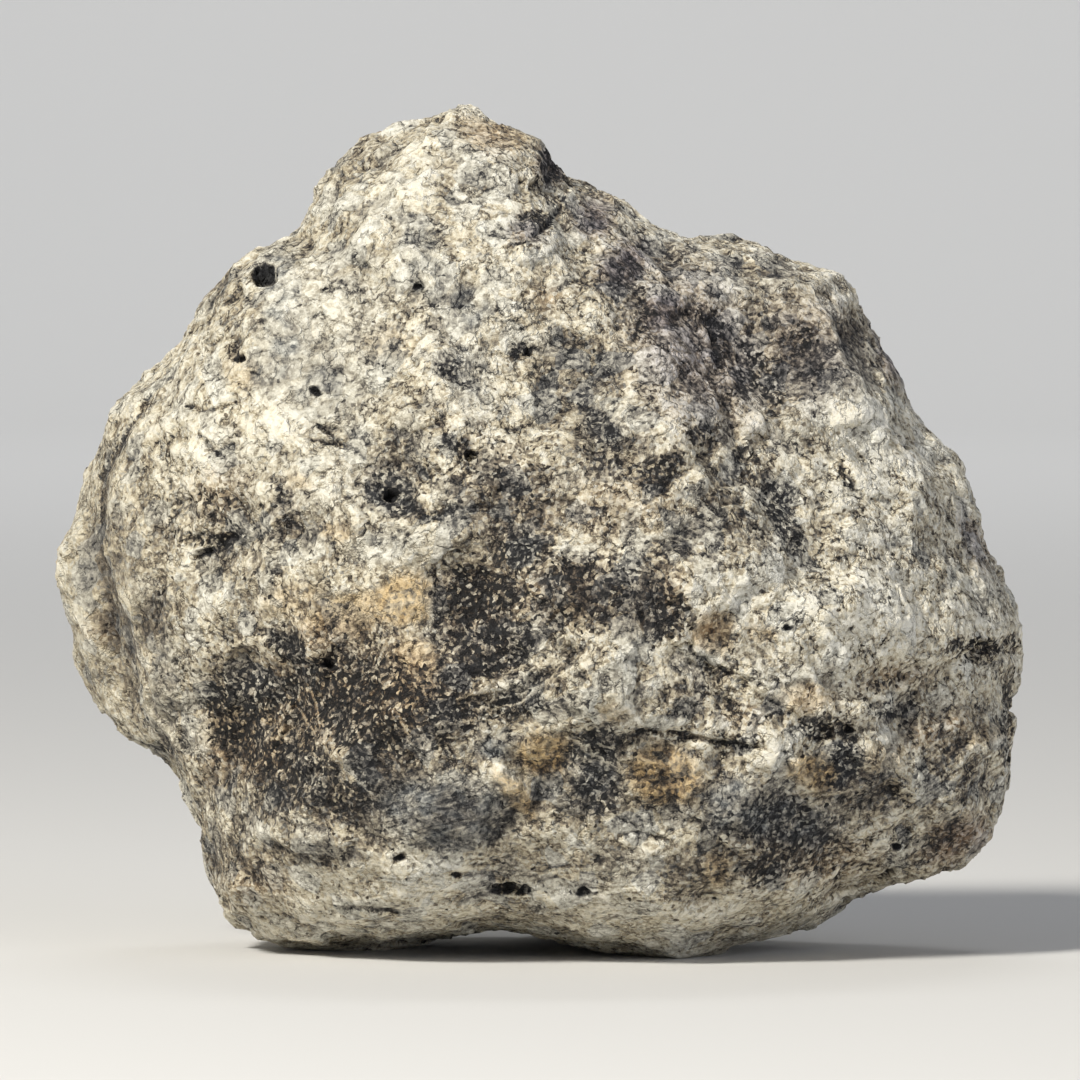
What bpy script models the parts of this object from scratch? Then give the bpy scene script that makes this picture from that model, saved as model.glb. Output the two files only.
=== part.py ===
"""A eucrite meteorite: one broken fragment of pale, speckled basaltic rock, 100 mm wide.

The stone is shaped in millimetres and turned to metres at the end. Across is +X, up is +Z, and the
front of the stone faces -Y. It rests on three small flat spots at z = 0.
"""

import math

import bmesh
import bpy
from mathutils import Matrix, Vector, noise

MM = 0.001

# Driving sizes, in millimetres.
WIDTH = 100.0
FRONT_DEPTH = 34.0
BACK_DEPTH = 31.0
HEART = Vector((0.0, 0.0, 42.0))

# The mesh starts as a cube whose sides are cut this many times each way, and is thinned at the end.
CUTS = 71
TRIANGLES = 9500

# The stone's outline as seen from the front, clockwise from its peak: across and up.
OUTLINE = (
    (-8.1, 87.6), (-3.5, 86.0), (-0.3, 84.1), (1.6, 82.3), (2.9, 79.9), (4.8, 78.5), (8.2, 78.3), (11.1, 75.2),
    (13.5, 74.2), (21.1, 73.1), (27.0, 70.8), (32.7, 68.3), (33.7, 64.7), (36.5, 60.5), (38.1, 55.5),
    (42.0, 51.9), (43.6, 49.2), (45.9, 42.1), (49.1, 36.6), (50.0, 33.1), (48.5, 26.7), (48.4, 17.9),
    (46.8, 14.6), (45.6, 10.8), (39.0, 7.6), (32.1, 5.7), (28.8, 2.7), (20.6, 1.7), (13.9, 0.0),
    (10.7, 0.7), (5.2, 0.9), (-4.2, 2.1), (-14.0, 1.4), (-21.7, 0.8), (-29.1, 2.5), (-33.4, 6.4),
    (-34.7, 11.5), (-38.0, 16.5), (-38.7, 20.9), (-42.3, 21.6), (-46.4, 26.0), (-48.9, 30.7),
    (-50.6, 38.6), (-49.7, 43.4), (-46.5, 50.2), (-44.3, 54.6), (-43.1, 56.4), (-39.4, 60.1),
    (-36.1, 64.9), (-32.8, 69.2), (-27.9, 72.3), (-25.5, 73.9), (-23.0, 78.5), (-18.6, 82.6), (-12.4, 86.4),
)

# Round the heart, by angle in degrees: how far behind the middle the outline runs, and how boxy the
# stone is from the outline forwards and backwards (2 is an ellipse, less is a wedge).
RIM_BACK = ((0, 1), (40, 6), (100, 4), (140, 2), (165, 5), (178, 12), (205, 12), (225, 3), (270, -2), (330, 1))
BOXY_FRONT = ((0, 1.9), (30, 2.0), (60, 1.9), (98, 1.7), (130, 2.0), (160, 2.2), (185, 2.6), (215, 2.5),
              (240, 2.5), (270, 2.7), (300, 2.5), (330, 2.2))
BOXY_BACK = ((0, 1.7), (30, 2.2), (60, 2.5), (98, 1.6), (130, 2.1), (160, 1.9), (185, 2.0), (215, 2.3),
             (240, 2.5), (270, 2.8), (300, 2.4), (330, 1.9))


def smoothstep(value):
    """Ease from 0 to 1 as the value goes from 0 to 1."""
    value = min(max(value, 0.0), 1.0)
    return value * value * (3.0 - 2.0 * value)


def round_the_rim(points, angle):
    """Read a smooth closed curve, given as (angle, value) points, at an angle in degrees."""
    count = len(points)
    angle %= 360.0
    index = max((i for i in range(count) if points[i][0] <= angle), default=-1)
    around = [points[(index + step) % count] for step in (-1, 0, 1, 2)]
    turns = [math.floor((index + step) / count) * 360.0 for step in (-1, 0, 1, 2)]
    (a0, v0), (a1, v1), (a2, v2), (a3, v3) = [(a + turn, v) for (a, v), turn in zip(around, turns)]
    span = a2 - a1
    share = (angle - a1) / span
    slope_in = (v2 - v0) / (a2 - a0) * span
    slope_out = (v3 - v1) / (a3 - a1) * span
    square = share * share
    cube = square * share
    return ((2 * cube - 3 * square + 1) * v1 + (cube - 2 * square + share) * slope_in
            + (3 * square - 2 * cube) * v2 + (cube - square) * slope_out)


def polar_outline():
    """Turn the outline's points to (angle, radius) round the heart."""
    points = []
    for across, up in OUTLINE:
        angle = math.degrees(math.atan2(up - HEART.z, across)) % 360.0
        points.append((angle, math.hypot(across, up - HEART.z)))
    return sorted(points)


# A broken face: a point on it (across, up), its depth there, and how the depth changes across and up.
UPPER_LEFT_FACE = (-11.4, 42.0, 33.0, 0.30, -0.52)
UPPER_MIDDLE_FACE = (-5.0, 42.0, 33.2, -0.12, -0.50)
DARK_STRIP = (3.0, 78.4, 13.8, -0.80, -0.86)
LOWER_LEFT_FACE = (-11.4, 25.7, 31.5, 0.14, 0.50)
MAIN_BLOCK = (UPPER_LEFT_FACE, UPPER_MIDDLE_FACE, DARK_STRIP, LOWER_LEFT_FACE)

UPPER_RIGHT_FACE = (26.6, 63.8, 12.0, -0.10, -0.66)
MIDDLE_RIGHT_FACE = (26.6, 40.0, 22.5, -0.24, -0.16)
CORNER_FACE = (41.0, 24.0, 16.0, -0.55, 0.28)
LOWER_RIGHT_FACE = (24.6, 20.0, 25.0, -0.20, 0.58)
RIGHT_BLOCK = (UPPER_RIGHT_FACE, MIDDLE_RIGHT_FACE, CORNER_FACE, LOWER_RIGHT_FACE)

BACK_UPPER_FACE = (-6.0, 60.0, 27.0, 0.10, -0.62)
BACK_LEFT_FACE = (-26.0, 42.0, 25.5, 0.42, -0.05)
BACK_RIGHT_FACE = (16.0, 40.0, 29.0, -0.34, 0.10)
BACK_LOWER_FACE = (4.0, 20.0, 27.5, 0.05, 0.46)
BACK_SHOULDER = (27.0, 62.0, 18.0, -0.40, -0.45)
BACK_BLOCK = (BACK_UPPER_FACE, BACK_LEFT_FACE, BACK_RIGHT_FACE, BACK_LOWER_FACE, BACK_SHOULDER)

RIDGE_BLEND = 0.6


def block_depth(faces, across, up):
    """Depth of a block of broken faces: the least of them, rounded a little at the ridges."""
    total = 0.0
    for face_across, face_up, depth, rise_across, rise_up in faces:
        here = depth + rise_across * (across - face_across) + rise_up * (up - face_up)
        total += math.exp(-here / RIDGE_BLEND)
    return -RIDGE_BLEND * math.log(total)


def start_round(stone):
    """Make a cube, cut its sides into even squares and push them out to a ball of radius 1."""
    bmesh.ops.create_cube(stone, size=2.0)
    bmesh.ops.subdivide_edges(stone, edges=stone.edges[:], cuts=CUTS, use_grid_fill=True)
    for vert in stone.verts:
        evened = Vector([math.tan(value * math.pi / 4) for value in vert.co])
        vert.co = evened.normalized()


def lay_out(stone):
    """Swell the ball to the outline and the depth, then break its front and back into faces."""
    outline = polar_outline()
    for vert in stone.verts:
        ball = vert.co.copy()
        reach = math.hypot(ball.x, ball.z)
        angle = math.degrees(math.atan2(ball.z, ball.x))
        boxy = round_the_rim(BOXY_FRONT if ball.y < 0.0 else BOXY_BACK, angle)
        swell = (reach ** boxy + abs(ball.y) ** boxy) ** (-1.0 / boxy)
        radius = round_the_rim(outline, angle) * reach * swell
        across = radius * ball.x / max(reach, 1e-6)
        up = HEART.z + radius * ball.z / max(reach, 1e-6)
        rim = round_the_rim(RIM_BACK, angle) * smoothstep(reach * swell)
        if ball.y < 0.0:
            depth = -FRONT_DEPTH * ball.y * swell
            main = block_depth(MAIN_BLOCK, across, up)
            right = block_depth(RIGHT_BLOCK, across, up)
            back = rim - min(depth, max(main, right) + rim)
        else:
            depth = BACK_DEPTH * ball.y * swell
            back = rim + min(depth, max(block_depth(BACK_BLOCK, across, up) - rim, 0.0))
        vert.co = (across, back, up)


def weight_at(vert, at, reach, turn, edge):
    """How strongly a stroke at a place (across, up) works on a point: 1 inside, 0 outside."""
    across = vert.co.x - at[0]
    up = vert.co.z - at[1]
    turn = math.radians(turn)
    along = (across * math.cos(turn) + up * math.sin(turn)) / reach[0]
    beside = (up * math.cos(turn) - across * math.sin(turn)) / reach[1]
    return smoothstep((1.0 - math.hypot(along, beside)) / edge)


def press(stone, at, reach, by, turn=0.0, edge=1.0, side=-1):
    """Press a hollow into the front (side -1) or the back (side 1); a negative by raises a lump."""
    for vert in stone.verts:
        if vert.co.y * side > 0.0:
            rim_fade = smoothstep(vert.co.y * side / 8.0)
            vert.co.y -= side * by * rim_fade * weight_at(vert, at, reach, turn, edge)


def press_groove(stone, route, width, by, side=-1):
    """Press a groove along a route of (across, up) points; a negative by raises a ridge."""
    for vert in stone.verts:
        if vert.co.y * side <= 0.0:
            continue
        nearest = min(distance_to_run(vert, start, end) for start, end in zip(route, route[1:]))
        rim_fade = smoothstep(vert.co.y * side / 6.0)
        vert.co.y -= side * by * rim_fade * smoothstep(1.0 - nearest / width)


def distance_to_run(vert, start, end):
    """Distance in the front view from a point to a straight run."""
    run = Vector(end) - Vector(start)
    place = Vector((vert.co.x, vert.co.z)) - Vector(start)
    share = min(max(place.dot(run) / run.length_squared, 0.0), 1.0)
    return (place - run * share).length


# The rear lobe: the heights between which it shows, its middle, and how far back it lies.
LOBE_BOTTOM = 18.0
LOBE_TOP = 55.0
LOBE_MIDDLE = (-44.0, 38.0)
LOBE_BACK = 3.0
LOBE_CROWN = 5.0
LOBE_STEP = 2.2


def set_back_rear_lobe(stone):
    """Step the left edge back, so that a rounder lobe shows behind the main block's edge."""
    for vert in stone.verts:
        if vert.co.y > 8.0 or not LOBE_BOTTOM < vert.co.z < LOBE_TOP:
            continue
        edge = round_edge(vert.co.z)
        step = smoothstep((edge - vert.co.x) / LOBE_STEP)
        ends = smoothstep((vert.co.z - LOBE_BOTTOM) / 6.0) * smoothstep((LOBE_TOP - vert.co.z) / 5.0)
        crown = LOBE_CROWN * smoothstep(1.0 - abs(vert.co.z - LOBE_MIDDLE[1]) / 16.0)
        lobe_front = LOBE_BACK - 0.5 * (vert.co.x - LOBE_MIDDLE[0]) - crown
        vert.co.y += max(lobe_front - vert.co.y, 0.0) * step * ends


def round_edge(up):
    """Where the main block's left edge runs, across, at a height."""
    return -39.0 - 5.2 * smoothstep((up - 20.0) / 30.0)


# Broken faces of the back and the sides: azimuth (0 is the front, 90 the right), elevation, depth broken off.
CLEAVES = (
    (112, 8, 4.0), (138, 38, 5.0), (172, 20, 2.5), (196, 52, 5.0), (228, 24, 4.5), (250, -6, 4.0),
    (205, -22, 3.0), (150, -28, 4.0), (122, -36, 5.0), (236, -40, 5.0), (160, 64, 4.0), (98, 44, 3.0),
)


def cleave(stone, azimuth, elevation, bite):
    """Break a flat face off the stone on one side, leaving the outline seen from the front."""
    turn = math.radians(azimuth)
    tilt = math.radians(elevation)
    facing = Vector((math.sin(turn) * math.cos(tilt), -math.cos(turn) * math.cos(tilt), math.sin(tilt)))
    furthest = max(vert.co.dot(facing) for vert in stone.verts)
    for vert in stone.verts:
        beyond = vert.co.dot(facing) - (furthest - bite)
        if beyond > 0.0:
            vert.co -= facing * beyond * 0.92 * smoothstep((vert.co.y - 2.0) / 9.0)


# A ledge runs out over this share of its fade past the ends of its route.
LEDGE_END = 0.35


def ledge(stone, route, by, fade, lip=1.5):
    """Sink the ground on the right of a route (across, up) in the front view, steeply at the route.

    A negative by raises it instead.
    """
    for vert in stone.verts:
        if vert.co.y >= 0.0:
            continue
        runs = list(zip(route, route[1:]))
        nearest = [distance_to_run(vert, start, end) for start, end in runs]
        index = nearest.index(min(nearest))
        start, end = runs[index]
        beside = (vert.co.x - start[0]) * (end[1] - start[1]) - (vert.co.z - start[1]) * (end[0] - start[0])
        if beside <= 0.0 or nearest[index] >= fade:
            continue
        run = Vector(end) - Vector(start)
        across = beside / run.length
        past_end = max(nearest[index] - across, 0.0)
        slope = 1.0 - nearest[index] / fade
        end_fade = smoothstep(1.0 - past_end / (LEDGE_END * fade))
        sink = by * smoothstep(across / lip) * slope * end_fade
        vert.co.y += sink * smoothstep(-vert.co.y / 6.0)


def displace(stone, height_at):
    """Move every point along its normal by height_at(place), less across and up close to the outline."""
    stone.normal_update()
    moves = [vert.normal * height_at(vert.co) for vert in stone.verts]
    for vert, move in zip(stone.verts, moves):
        keep_outline = 0.2 + 0.8 * smoothstep(abs(vert.co.y - 4.0) / 12.0)
        vert.co += Vector((move.x * keep_outline, move.y, move.z * keep_outline))


def swells(stone, scale, height):
    """Soft swells and hollows about scale across."""
    displace(stone, lambda place: height * noise.fractal(place / scale + Vector((3.1, 7.7, 1.9)), 0.8, 2.1, 3))


def drift(place):
    """A smoothly changing vector, so that straight patterns bend."""
    return Vector([noise.noise(place + Vector((shift, -shift, 2.0 * shift))) for shift in (11.3, 27.9, 43.1)])


def fracture(stone, scale, height, bevel=0.22):
    """Break the surface into slanted flat facets about scale across, as brittle rock splits."""
    def height_at(place):
        bent = place / scale + 0.22 * drift(place / scale * 1.7)
        distances, seeds = noise.voronoi(bent)
        heights = []
        for seed in seeds[:2]:
            slant = noise.cell_vector(seed * 7.3 + Vector((0.5, 0.5, 0.5))) * 2.0 - Vector((1.0, 1.0, 1.0))
            heights.append((bent - seed).dot(slant) + 0.35 * (slant.x + slant.y))
        share = 0.5 - 0.5 * smoothstep((distances[1] - distances[0]) / bevel)
        return height * (heights[0] * (1.0 - share) + heights[1] * share)

    displace(stone, height_at)


def carve_front(stone):
    """The ledges, hollows, lumps and grooves that break up the front."""
    ledge(stone, ((17.6, 52.8), (10.9, 46.3)), by=-2.6, fade=8.0, lip=1.2)
    ledge(stone, ((-9.4, 29.0), (-10.8, 33.0), (-11.0, 39.5), (-9.0, 42.5)), by=1.5, fade=9.0, lip=1.3)
    press(stone, at=(-4.0, 35.5), reach=(9.5, 10.5), by=2.8)
    press(stone, at=(4.0, 38.0), reach=(8.0, 5.0), by=1.3, turn=20)
    ledge(stone, ((-8.2, 25.7), (-0.4, 28.3), (3.0, 32.5)), by=1.9, fade=6.0, lip=1.2)
    press(stone, at=(-29.0, 26.0), reach=(9.0, 7.5), by=1.8)
    press(stone, at=(-18.5, 27.0), reach=(8.0, 6.5), by=1.0)
    ledge(stone, ((-35.5, 42.5), (-32.0, 43.5), (-29.0, 42.5)), by=1.6, fade=6.0)
    press(stone, at=(-15.5, 48.0), reach=(6.0, 4.5), by=1.4)
    ledge(stone, ((-19.5, 47.5), (-18.0, 50.5), (-12.0, 51.5)), by=1.3, fade=5.0)
    press(stone, at=(6.5, 28.0), reach=(7.5, 7.0), by=-1.5, edge=0.8)
    press(stone, at=(12.8, 34.0), reach=(5.0, 5.0), by=1.6, turn=-35)
    press(stone, at=(28.0, 33.0), reach=(12.0, 7.0), by=-1.4)
    ledge(stone, ((25.5, 38.5), (23.0, 42.0), (25.0, 48.0)), by=1.6, fade=5.0)
    ledge(stone, ((38.5, 30.0), (42.0, 32.0), (47.5, 33.0)), by=2.6, fade=7.0)
    ledge(stone, ((14.6, 31.4), (18.5, 28.6), (24.5, 25.4), (33.0, 26.4), (41.5, 28.2)), by=1.5, fade=5.0)
    ledge(stone, ((32.5, 45.0), (29.0, 50.0), (36.0, 55.5)), by=1.2, fade=6.0)
    ledge(stone, ((10.0, 22.6), (16.0, 21.8), (24.0, 19.8), (33.0, 17.0), (38.0, 13.5)), by=1.3, fade=7.0)
    press_groove(stone, ((3.0, 76.0), (0.5, 72.0), (-2.0, 68.0)), width=2.0, by=0.7)
    press_groove(stone, ((16.2, 69.5), (17.6, 63.5), (18.6, 58.0)), width=2.0, by=1.3)
    press_groove(stone, ((20.0, 65.0), (22.0, 60.5), (24.0, 56.5)), width=2.0, by=1.0)
    press_groove(stone, ((-10.0, 20.5), (-4.0, 22.5), (4.0, 23.5)), width=2.2, by=0.9)
    press_groove(stone, ((4.0, 22.0), (6.5, 16.0)), width=4.5, by=0.8)


def carve_back(stone):
    """Broken faces, broad hollows and lumps on the back and sides, which break them up as the front is."""
    for azimuth, elevation, bite in CLEAVES:
        cleave(stone, azimuth, elevation, bite)
    press(stone, at=(14.0, 55.0), reach=(11.0, 8.0), by=3.0, turn=25, side=1)
    press(stone, at=(-14.0, 34.0), reach=(12.0, 9.0), by=-2.2, turn=-20, side=1)
    press(stone, at=(-20.0, 58.0), reach=(9.0, 7.0), by=2.4, turn=40, side=1)
    press(stone, at=(22.0, 24.0), reach=(9.0, 8.0), by=2.6, turn=10, side=1)
    press(stone, at=(-4.0, 18.0), reach=(10.0, 6.0), by=2.0, turn=-8, side=1)
    press_groove(stone, ((-30.0, 46.0), (-8.0, 47.0), (8.0, 38.0), (20.0, 36.0)), width=3.2, by=1.5, side=1)


# Gas bubbles and gaps between grains that the break has opened in the front. Each is across, up, half
# its width, half its height, turn in degrees, and depth.
PITS = (
    (-28.1, 69.5, 1.8, 1.6, 10, 3.4), (-14.8, 47.4, 1.2, 1.1, 20, 1.8), (-7.2, 51.1, 1.1, 1.0, 0, 1.6),
    (-2.6, 7.6, 3.0, 1.1, -3, 2.0), (4.2, 7.4, 1.1, 0.9, 20, 1.4), (31.1, 23.7, 1.1, 1.0, 20, 1.8),
)
PIT_MARGIN = 1.2
PIT_WALL = 0.55


def sink_pits(stone):
    """Cut the mesh finer round each pit and sink the pit with steep walls."""
    for across, up, half_across, half_up, turn, depth in PITS:
        margin = (half_across + PIT_MARGIN, half_up + PIT_MARGIN)
        front = [vert for vert in stone.verts if vert.co.y < 0.0]
        near = {vert for vert in front if weight_at(vert, (across, up), margin, turn, 1.0) > 0.0}
        edges = [edge for edge in stone.edges if edge.verts[0] in near and edge.verts[1] in near]
        bmesh.ops.subdivide_edges(stone, edges=edges, cuts=1, use_grid_fill=True)
        for vert in stone.verts:
            if vert.co.y < 0.0:
                sunk = weight_at(vert, (across, up), (half_across, half_up), turn, PIT_WALL)
                vert.co.y += depth * sunk


# The three spots that touch the ground: across, back and reach. They are cut flat out of a bulge this low.
RESTS = ((14.0, -6.0, 8.0), (-18.5, 3.0, 9.0), (6.0, 18.0, 10.0))
BULGE = -1.1


def set_rests(stone):
    """Let three spots of the underside bulge below the ground, where they are then cut flat."""
    for vert in stone.verts:
        if vert.co.z > 12.0:
            continue
        for across, back, reach in RESTS:
            near = 1.0 - math.hypot(vert.co.x - across, vert.co.y - back) / reach
            low = smoothstep((12.0 - vert.co.z) / 5.0)
            vert.co.z += min(BULGE - vert.co.z, 0.0) * smoothstep(near * 1.6) * low


def thinned(stone):
    """Thin the mesh to the wanted number of triangles, keeping more of them where the stone bends."""
    mesh = bpy.data.meshes.new("dense")
    stone.to_mesh(mesh)
    dense = bpy.data.objects.new("dense", mesh)
    bpy.context.scene.collection.objects.link(dense)
    decimate = dense.modifiers.new("thin", "DECIMATE")
    decimate.ratio = TRIANGLES / (2 * len(mesh.polygons))
    decimate.use_collapse_triangulate = True
    depsgraph = bpy.context.evaluated_depsgraph_get()
    thin_mesh = bpy.data.meshes.new_from_object(dense.evaluated_get(depsgraph))
    bpy.data.objects.remove(dense)
    bpy.data.meshes.remove(mesh)
    stone.clear()
    stone.from_mesh(thin_mesh)
    bpy.data.meshes.remove(thin_mesh)


def cut_flat(stone):
    """Cut the stone off at z = 0 and close the cut with flat faces."""
    everything = stone.verts[:] + stone.edges[:] + stone.faces[:]
    bmesh.ops.bisect_plane(
        stone, geom=everything, plane_co=(0, 0, 0), plane_no=(0, 0, 1), clear_inner=True, dist=0.01)
    bmesh.ops.holes_fill(stone, edges=[edge for edge in stone.edges if edge.is_boundary])


def centre_on_ground(stone):
    """Bring the middle of the stone's box over the origin and its width to the driving width."""
    across = [vert.co.x for vert in stone.verts]
    back = [vert.co.y for vert in stone.verts]
    middle = Vector((-(min(across) + max(across)) / 2, -(min(back) + max(back)) / 2, 0.0))
    bmesh.ops.translate(stone, verts=stone.verts[:], vec=middle)
    scale = WIDTH / (max(across) - min(across))
    bmesh.ops.transform(stone, verts=stone.verts[:], matrix=Matrix.Scale(scale * MM, 4))


def eucrite():
    """Pale basaltic rock: cream and grey grains, dull and not metallic."""
    material = bpy.data.materials.new("eucrite")
    material.use_nodes = True
    shader = material.node_tree.nodes["Principled BSDF"]
    shader.inputs["Base Color"].default_value = (0.42, 0.39, 0.33, 1.0)
    shader.inputs["Roughness"].default_value = 0.85
    shader.inputs["Metallic"].default_value = 0.0
    return material


def make_stone():
    """Shape the whole stone and put it in the scene."""
    stone = bmesh.new()
    start_round(stone)
    lay_out(stone)
    set_back_rear_lobe(stone)
    carve_front(stone)
    carve_back(stone)
    swells(stone, scale=16.0, height=0.8)
    fracture(stone, scale=13.0, height=1.4, bevel=0.12)
    fracture(stone, scale=5.5, height=0.5, bevel=0.12)
    swells(stone, scale=3.5, height=0.15)
    sink_pits(stone)
    set_rests(stone)
    thinned(stone)
    cut_flat(stone)
    centre_on_ground(stone)
    bmesh.ops.recalc_face_normals(stone, faces=stone.faces[:])
    mesh = bpy.data.meshes.new("stone")
    stone.to_mesh(mesh)
    stone.free()
    mesh.shade_smooth()
    mesh.set_sharp_from_angle(angle=math.radians(50))
    mesh.materials.append(eucrite())
    bpy.context.scene.collection.objects.link(bpy.data.objects.new("stone", mesh))


for leftover in list(bpy.data.objects):
    bpy.data.objects.remove(leftover)
make_stone()
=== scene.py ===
# %% [markdown]
# # A eucrite meteorite, 100 mm wide
#
# Eucrite is a basalt from a small world: a stone of interlocked pale feldspar and dark pyroxene grains.
# This one is a broken fragment. Nothing on it is cut or polished, so its look comes from three things:
# how brittle rock splits (slanted facets, ledges, hollows and pits), how the grains and clasts differ
# in colour, and where brown weathering has stained it.
#
# The lesson starts from the plain solid of the stone, gives it a fine broken surface, paints where the
# clasts and stains lie, along with painted shade and painted light, and then builds one procedural rock
# material that reads that paint.

import math
from itertools import product

import bmesh
import bpy
import numpy as np
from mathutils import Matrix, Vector


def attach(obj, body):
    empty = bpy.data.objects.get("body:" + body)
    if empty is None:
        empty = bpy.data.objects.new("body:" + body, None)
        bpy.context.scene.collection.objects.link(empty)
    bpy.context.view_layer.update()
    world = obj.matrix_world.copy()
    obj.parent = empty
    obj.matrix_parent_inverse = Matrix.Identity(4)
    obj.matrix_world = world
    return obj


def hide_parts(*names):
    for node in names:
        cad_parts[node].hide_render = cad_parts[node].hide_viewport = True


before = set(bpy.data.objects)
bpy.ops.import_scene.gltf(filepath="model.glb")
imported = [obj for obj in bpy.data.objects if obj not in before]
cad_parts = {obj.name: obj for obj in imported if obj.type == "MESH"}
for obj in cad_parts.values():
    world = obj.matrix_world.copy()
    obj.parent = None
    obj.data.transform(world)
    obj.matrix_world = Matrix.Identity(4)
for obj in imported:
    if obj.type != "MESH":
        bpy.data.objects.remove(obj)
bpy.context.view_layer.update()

# %% [markdown]
# ## Units
#
# Blender works in metres, but a stone like this is easier to think of in millimetres. Every size below is
# in millimetres, and `MM` turns it to metres where Blender needs it.

# %% Small helpers
MM = 0.001


def ease(value):
    """Go smoothly from 0 to 1 as the value goes from 0 to 1."""
    value = np.clip(value, 0.0, 1.0)
    return value * value * (3.0 - 2.0 * value)


def linear(colour):
    """Turn an sRGB hex value, such as "#D8D2BC", to the linear colour that a shader needs."""
    parts = [int(colour[start:start + 2], 16) / 255 for start in (1, 3, 5)]
    return [part / 12.92 if part <= 0.04045 else ((part + 0.055) / 1.055) ** 2.4 for part in parts] + [1.0]


def add_object(name, data):
    """Make an object of some data and put it in the scene."""
    added = bpy.data.objects.new(name, data)
    bpy.context.scene.collection.objects.link(added)
    return added


print("mid grey is", round(linear("#808080")[0], 3), "in linear light")

# %% [markdown]
# ## Camera
#
# The stone is seen from the front, from almost level with it, by a long lens. A long lens hardly
# widens what is near. The camera comes first because the marks on the front are placed as it sees them.

# %% Place the camera
PICTURE_WIDTH = 111.1
CAMERA_DISTANCE = 1000.0
CAMERA_RISE = math.radians(2.0)
SENSOR = 36.0
AIM = Vector((-0.1, 0.0, 42.18))

camera_data = bpy.data.cameras.new("camera")
camera_data.sensor_width = SENSOR
camera_data.lens = SENSOR * CAMERA_DISTANCE / PICTURE_WIDTH
camera = add_object("camera", camera_data)
towards_camera = Vector((0.0, -math.cos(CAMERA_RISE), math.sin(CAMERA_RISE)))
camera.location = (AIM + towards_camera * CAMERA_DISTANCE) * MM
camera.rotation_euler = (math.pi / 2 - CAMERA_RISE, 0.0, 0.0)
bpy.context.scene.camera = camera
print("the lens is", round(camera_data.lens), "mm long")

# %% [markdown]
# ## Floor and light
#
# A sheet of pale paper that curves up behind the stone has no horizon. It curves up three metres back, so
# that a camera can go round behind the stone too. One soft lamp stands high on the left, where the
# stone's bright faces look, a dim one on the right keeps its shadows open, and one lights the paper.

# %% Roll out the paper
FLOOR_HALF_WIDTH = 3000.0
FLOOR_FRONT = -3000.0
BEND_START = 2300.0
BEND_RADIUS = 700.0
PAPER_TOP = 2600.0
BEND_STEPS = 24

paper_mesh = bmesh.new()
corners = [(side * FLOOR_HALF_WIDTH * MM, FLOOR_FRONT * MM, 0.0) for side in (-1, 1)]
strip = [paper_mesh.edges.new([paper_mesh.verts.new(corner) for corner in corners])]
route = [(BEND_START, 0.0)]
for step in range(1, BEND_STEPS + 1):
    turn = math.pi / 2 * step / BEND_STEPS
    route.append((BEND_START + BEND_RADIUS * math.sin(turn), BEND_RADIUS * (1.0 - math.cos(turn))))
route.append((BEND_START + BEND_RADIUS, PAPER_TOP))
behind, above = FLOOR_FRONT, 0.0
for next_behind, next_above in route:
    pulled = bmesh.ops.extrude_edge_only(paper_mesh, edges=strip)["geom"]
    strip = [part for part in pulled if isinstance(part, bmesh.types.BMEdge)]
    new_verts = [part for part in pulled if isinstance(part, bmesh.types.BMVert)]
    move = Vector((0.0, next_behind - behind, next_above - above)) * MM
    bmesh.ops.translate(paper_mesh, verts=new_verts, vec=move)
    behind, above = next_behind, next_above
bmesh.ops.recalc_face_normals(paper_mesh, faces=paper_mesh.faces[:])
paper_data = bpy.data.meshes.new("paper")
paper_mesh.to_mesh(paper_data)
paper_mesh.free()
paper_data.shade_smooth()
paper = add_object("paper", paper_data)

matt_paper = bpy.data.materials.new("matt pale paper")
matt_paper.use_nodes = True
paper_shader = matt_paper.node_tree.nodes["Principled BSDF"]
paper_shader.inputs["Base Color"].default_value = linear("#D6D5D2")
paper_shader.inputs["Roughness"].default_value = 0.95
paper_data.materials.append(matt_paper)
print("the paper has", len(paper_data.polygons), "faces")


# %% Hang the lamps
def hang_lamp(name, place, size, watts, colour, aim=AIM):
    """A square soft lamp at a place in millimetres; it shines at the middle of the stone, or at its aim."""
    lamp_data = bpy.data.lights.new(name, "AREA")
    lamp_data.size = size * MM
    lamp_data.energy = watts
    lamp_data.color = linear(colour)[:3]
    lamp = add_object(name, lamp_data)
    lamp.location = Vector(place) * MM
    lamp.rotation_euler = (aim * MM - lamp.location).to_track_quat("-Z", "Y").to_euler()


hang_lamp("key lamp", (-540.0, -660.0, 770.0), 210.0, 15.8, "#FFFBF3")
hang_lamp("fill lamp", (900.0, -700.0, 300.0), 700.0, 4.0, "#EEF2FF")
hang_lamp("paper lamp", (0.0, 1500.0, 2200.0), 1000.0, 36.0, "#F6F7FA", Vector((0.0, 3000.0, 500.0)))
room = bpy.data.worlds.new("dim room")
room.use_nodes = True
room_light = room.node_tree.nodes["Background"]
room_light.inputs["Color"].default_value = linear("#E4E9F2")
room_light.inputs["Strength"].default_value = 0.20
bpy.context.scene.world = room
bpy.context.scene.view_settings.view_transform = "Standard"

# %% [markdown]
# ## The stone's skin
#
# The solid has large triangles. A voxel remesh wraps it in small even squares, which is how a sculptor
# starts fine work on a form. A few rounds of smoothing melt the triangles' edges away. The solid itself
# is left alone: a copy of its mesh is merged, because its triangles come loose.

# %% Wrap the solid in fine squares
SKIN_SQUARE = 0.42
MERGE_DISTANCE = 1e-6
MELTING_ROUNDS = 7

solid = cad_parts["stone"]
stone_form = bmesh.new()
stone_form.from_mesh(solid.data)
bmesh.ops.remove_doubles(stone_form, verts=stone_form.verts[:], dist=MERGE_DISTANCE)
start_data = bpy.data.meshes.new("stone start")
stone_form.to_mesh(start_data)
stone_form.free()


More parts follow.
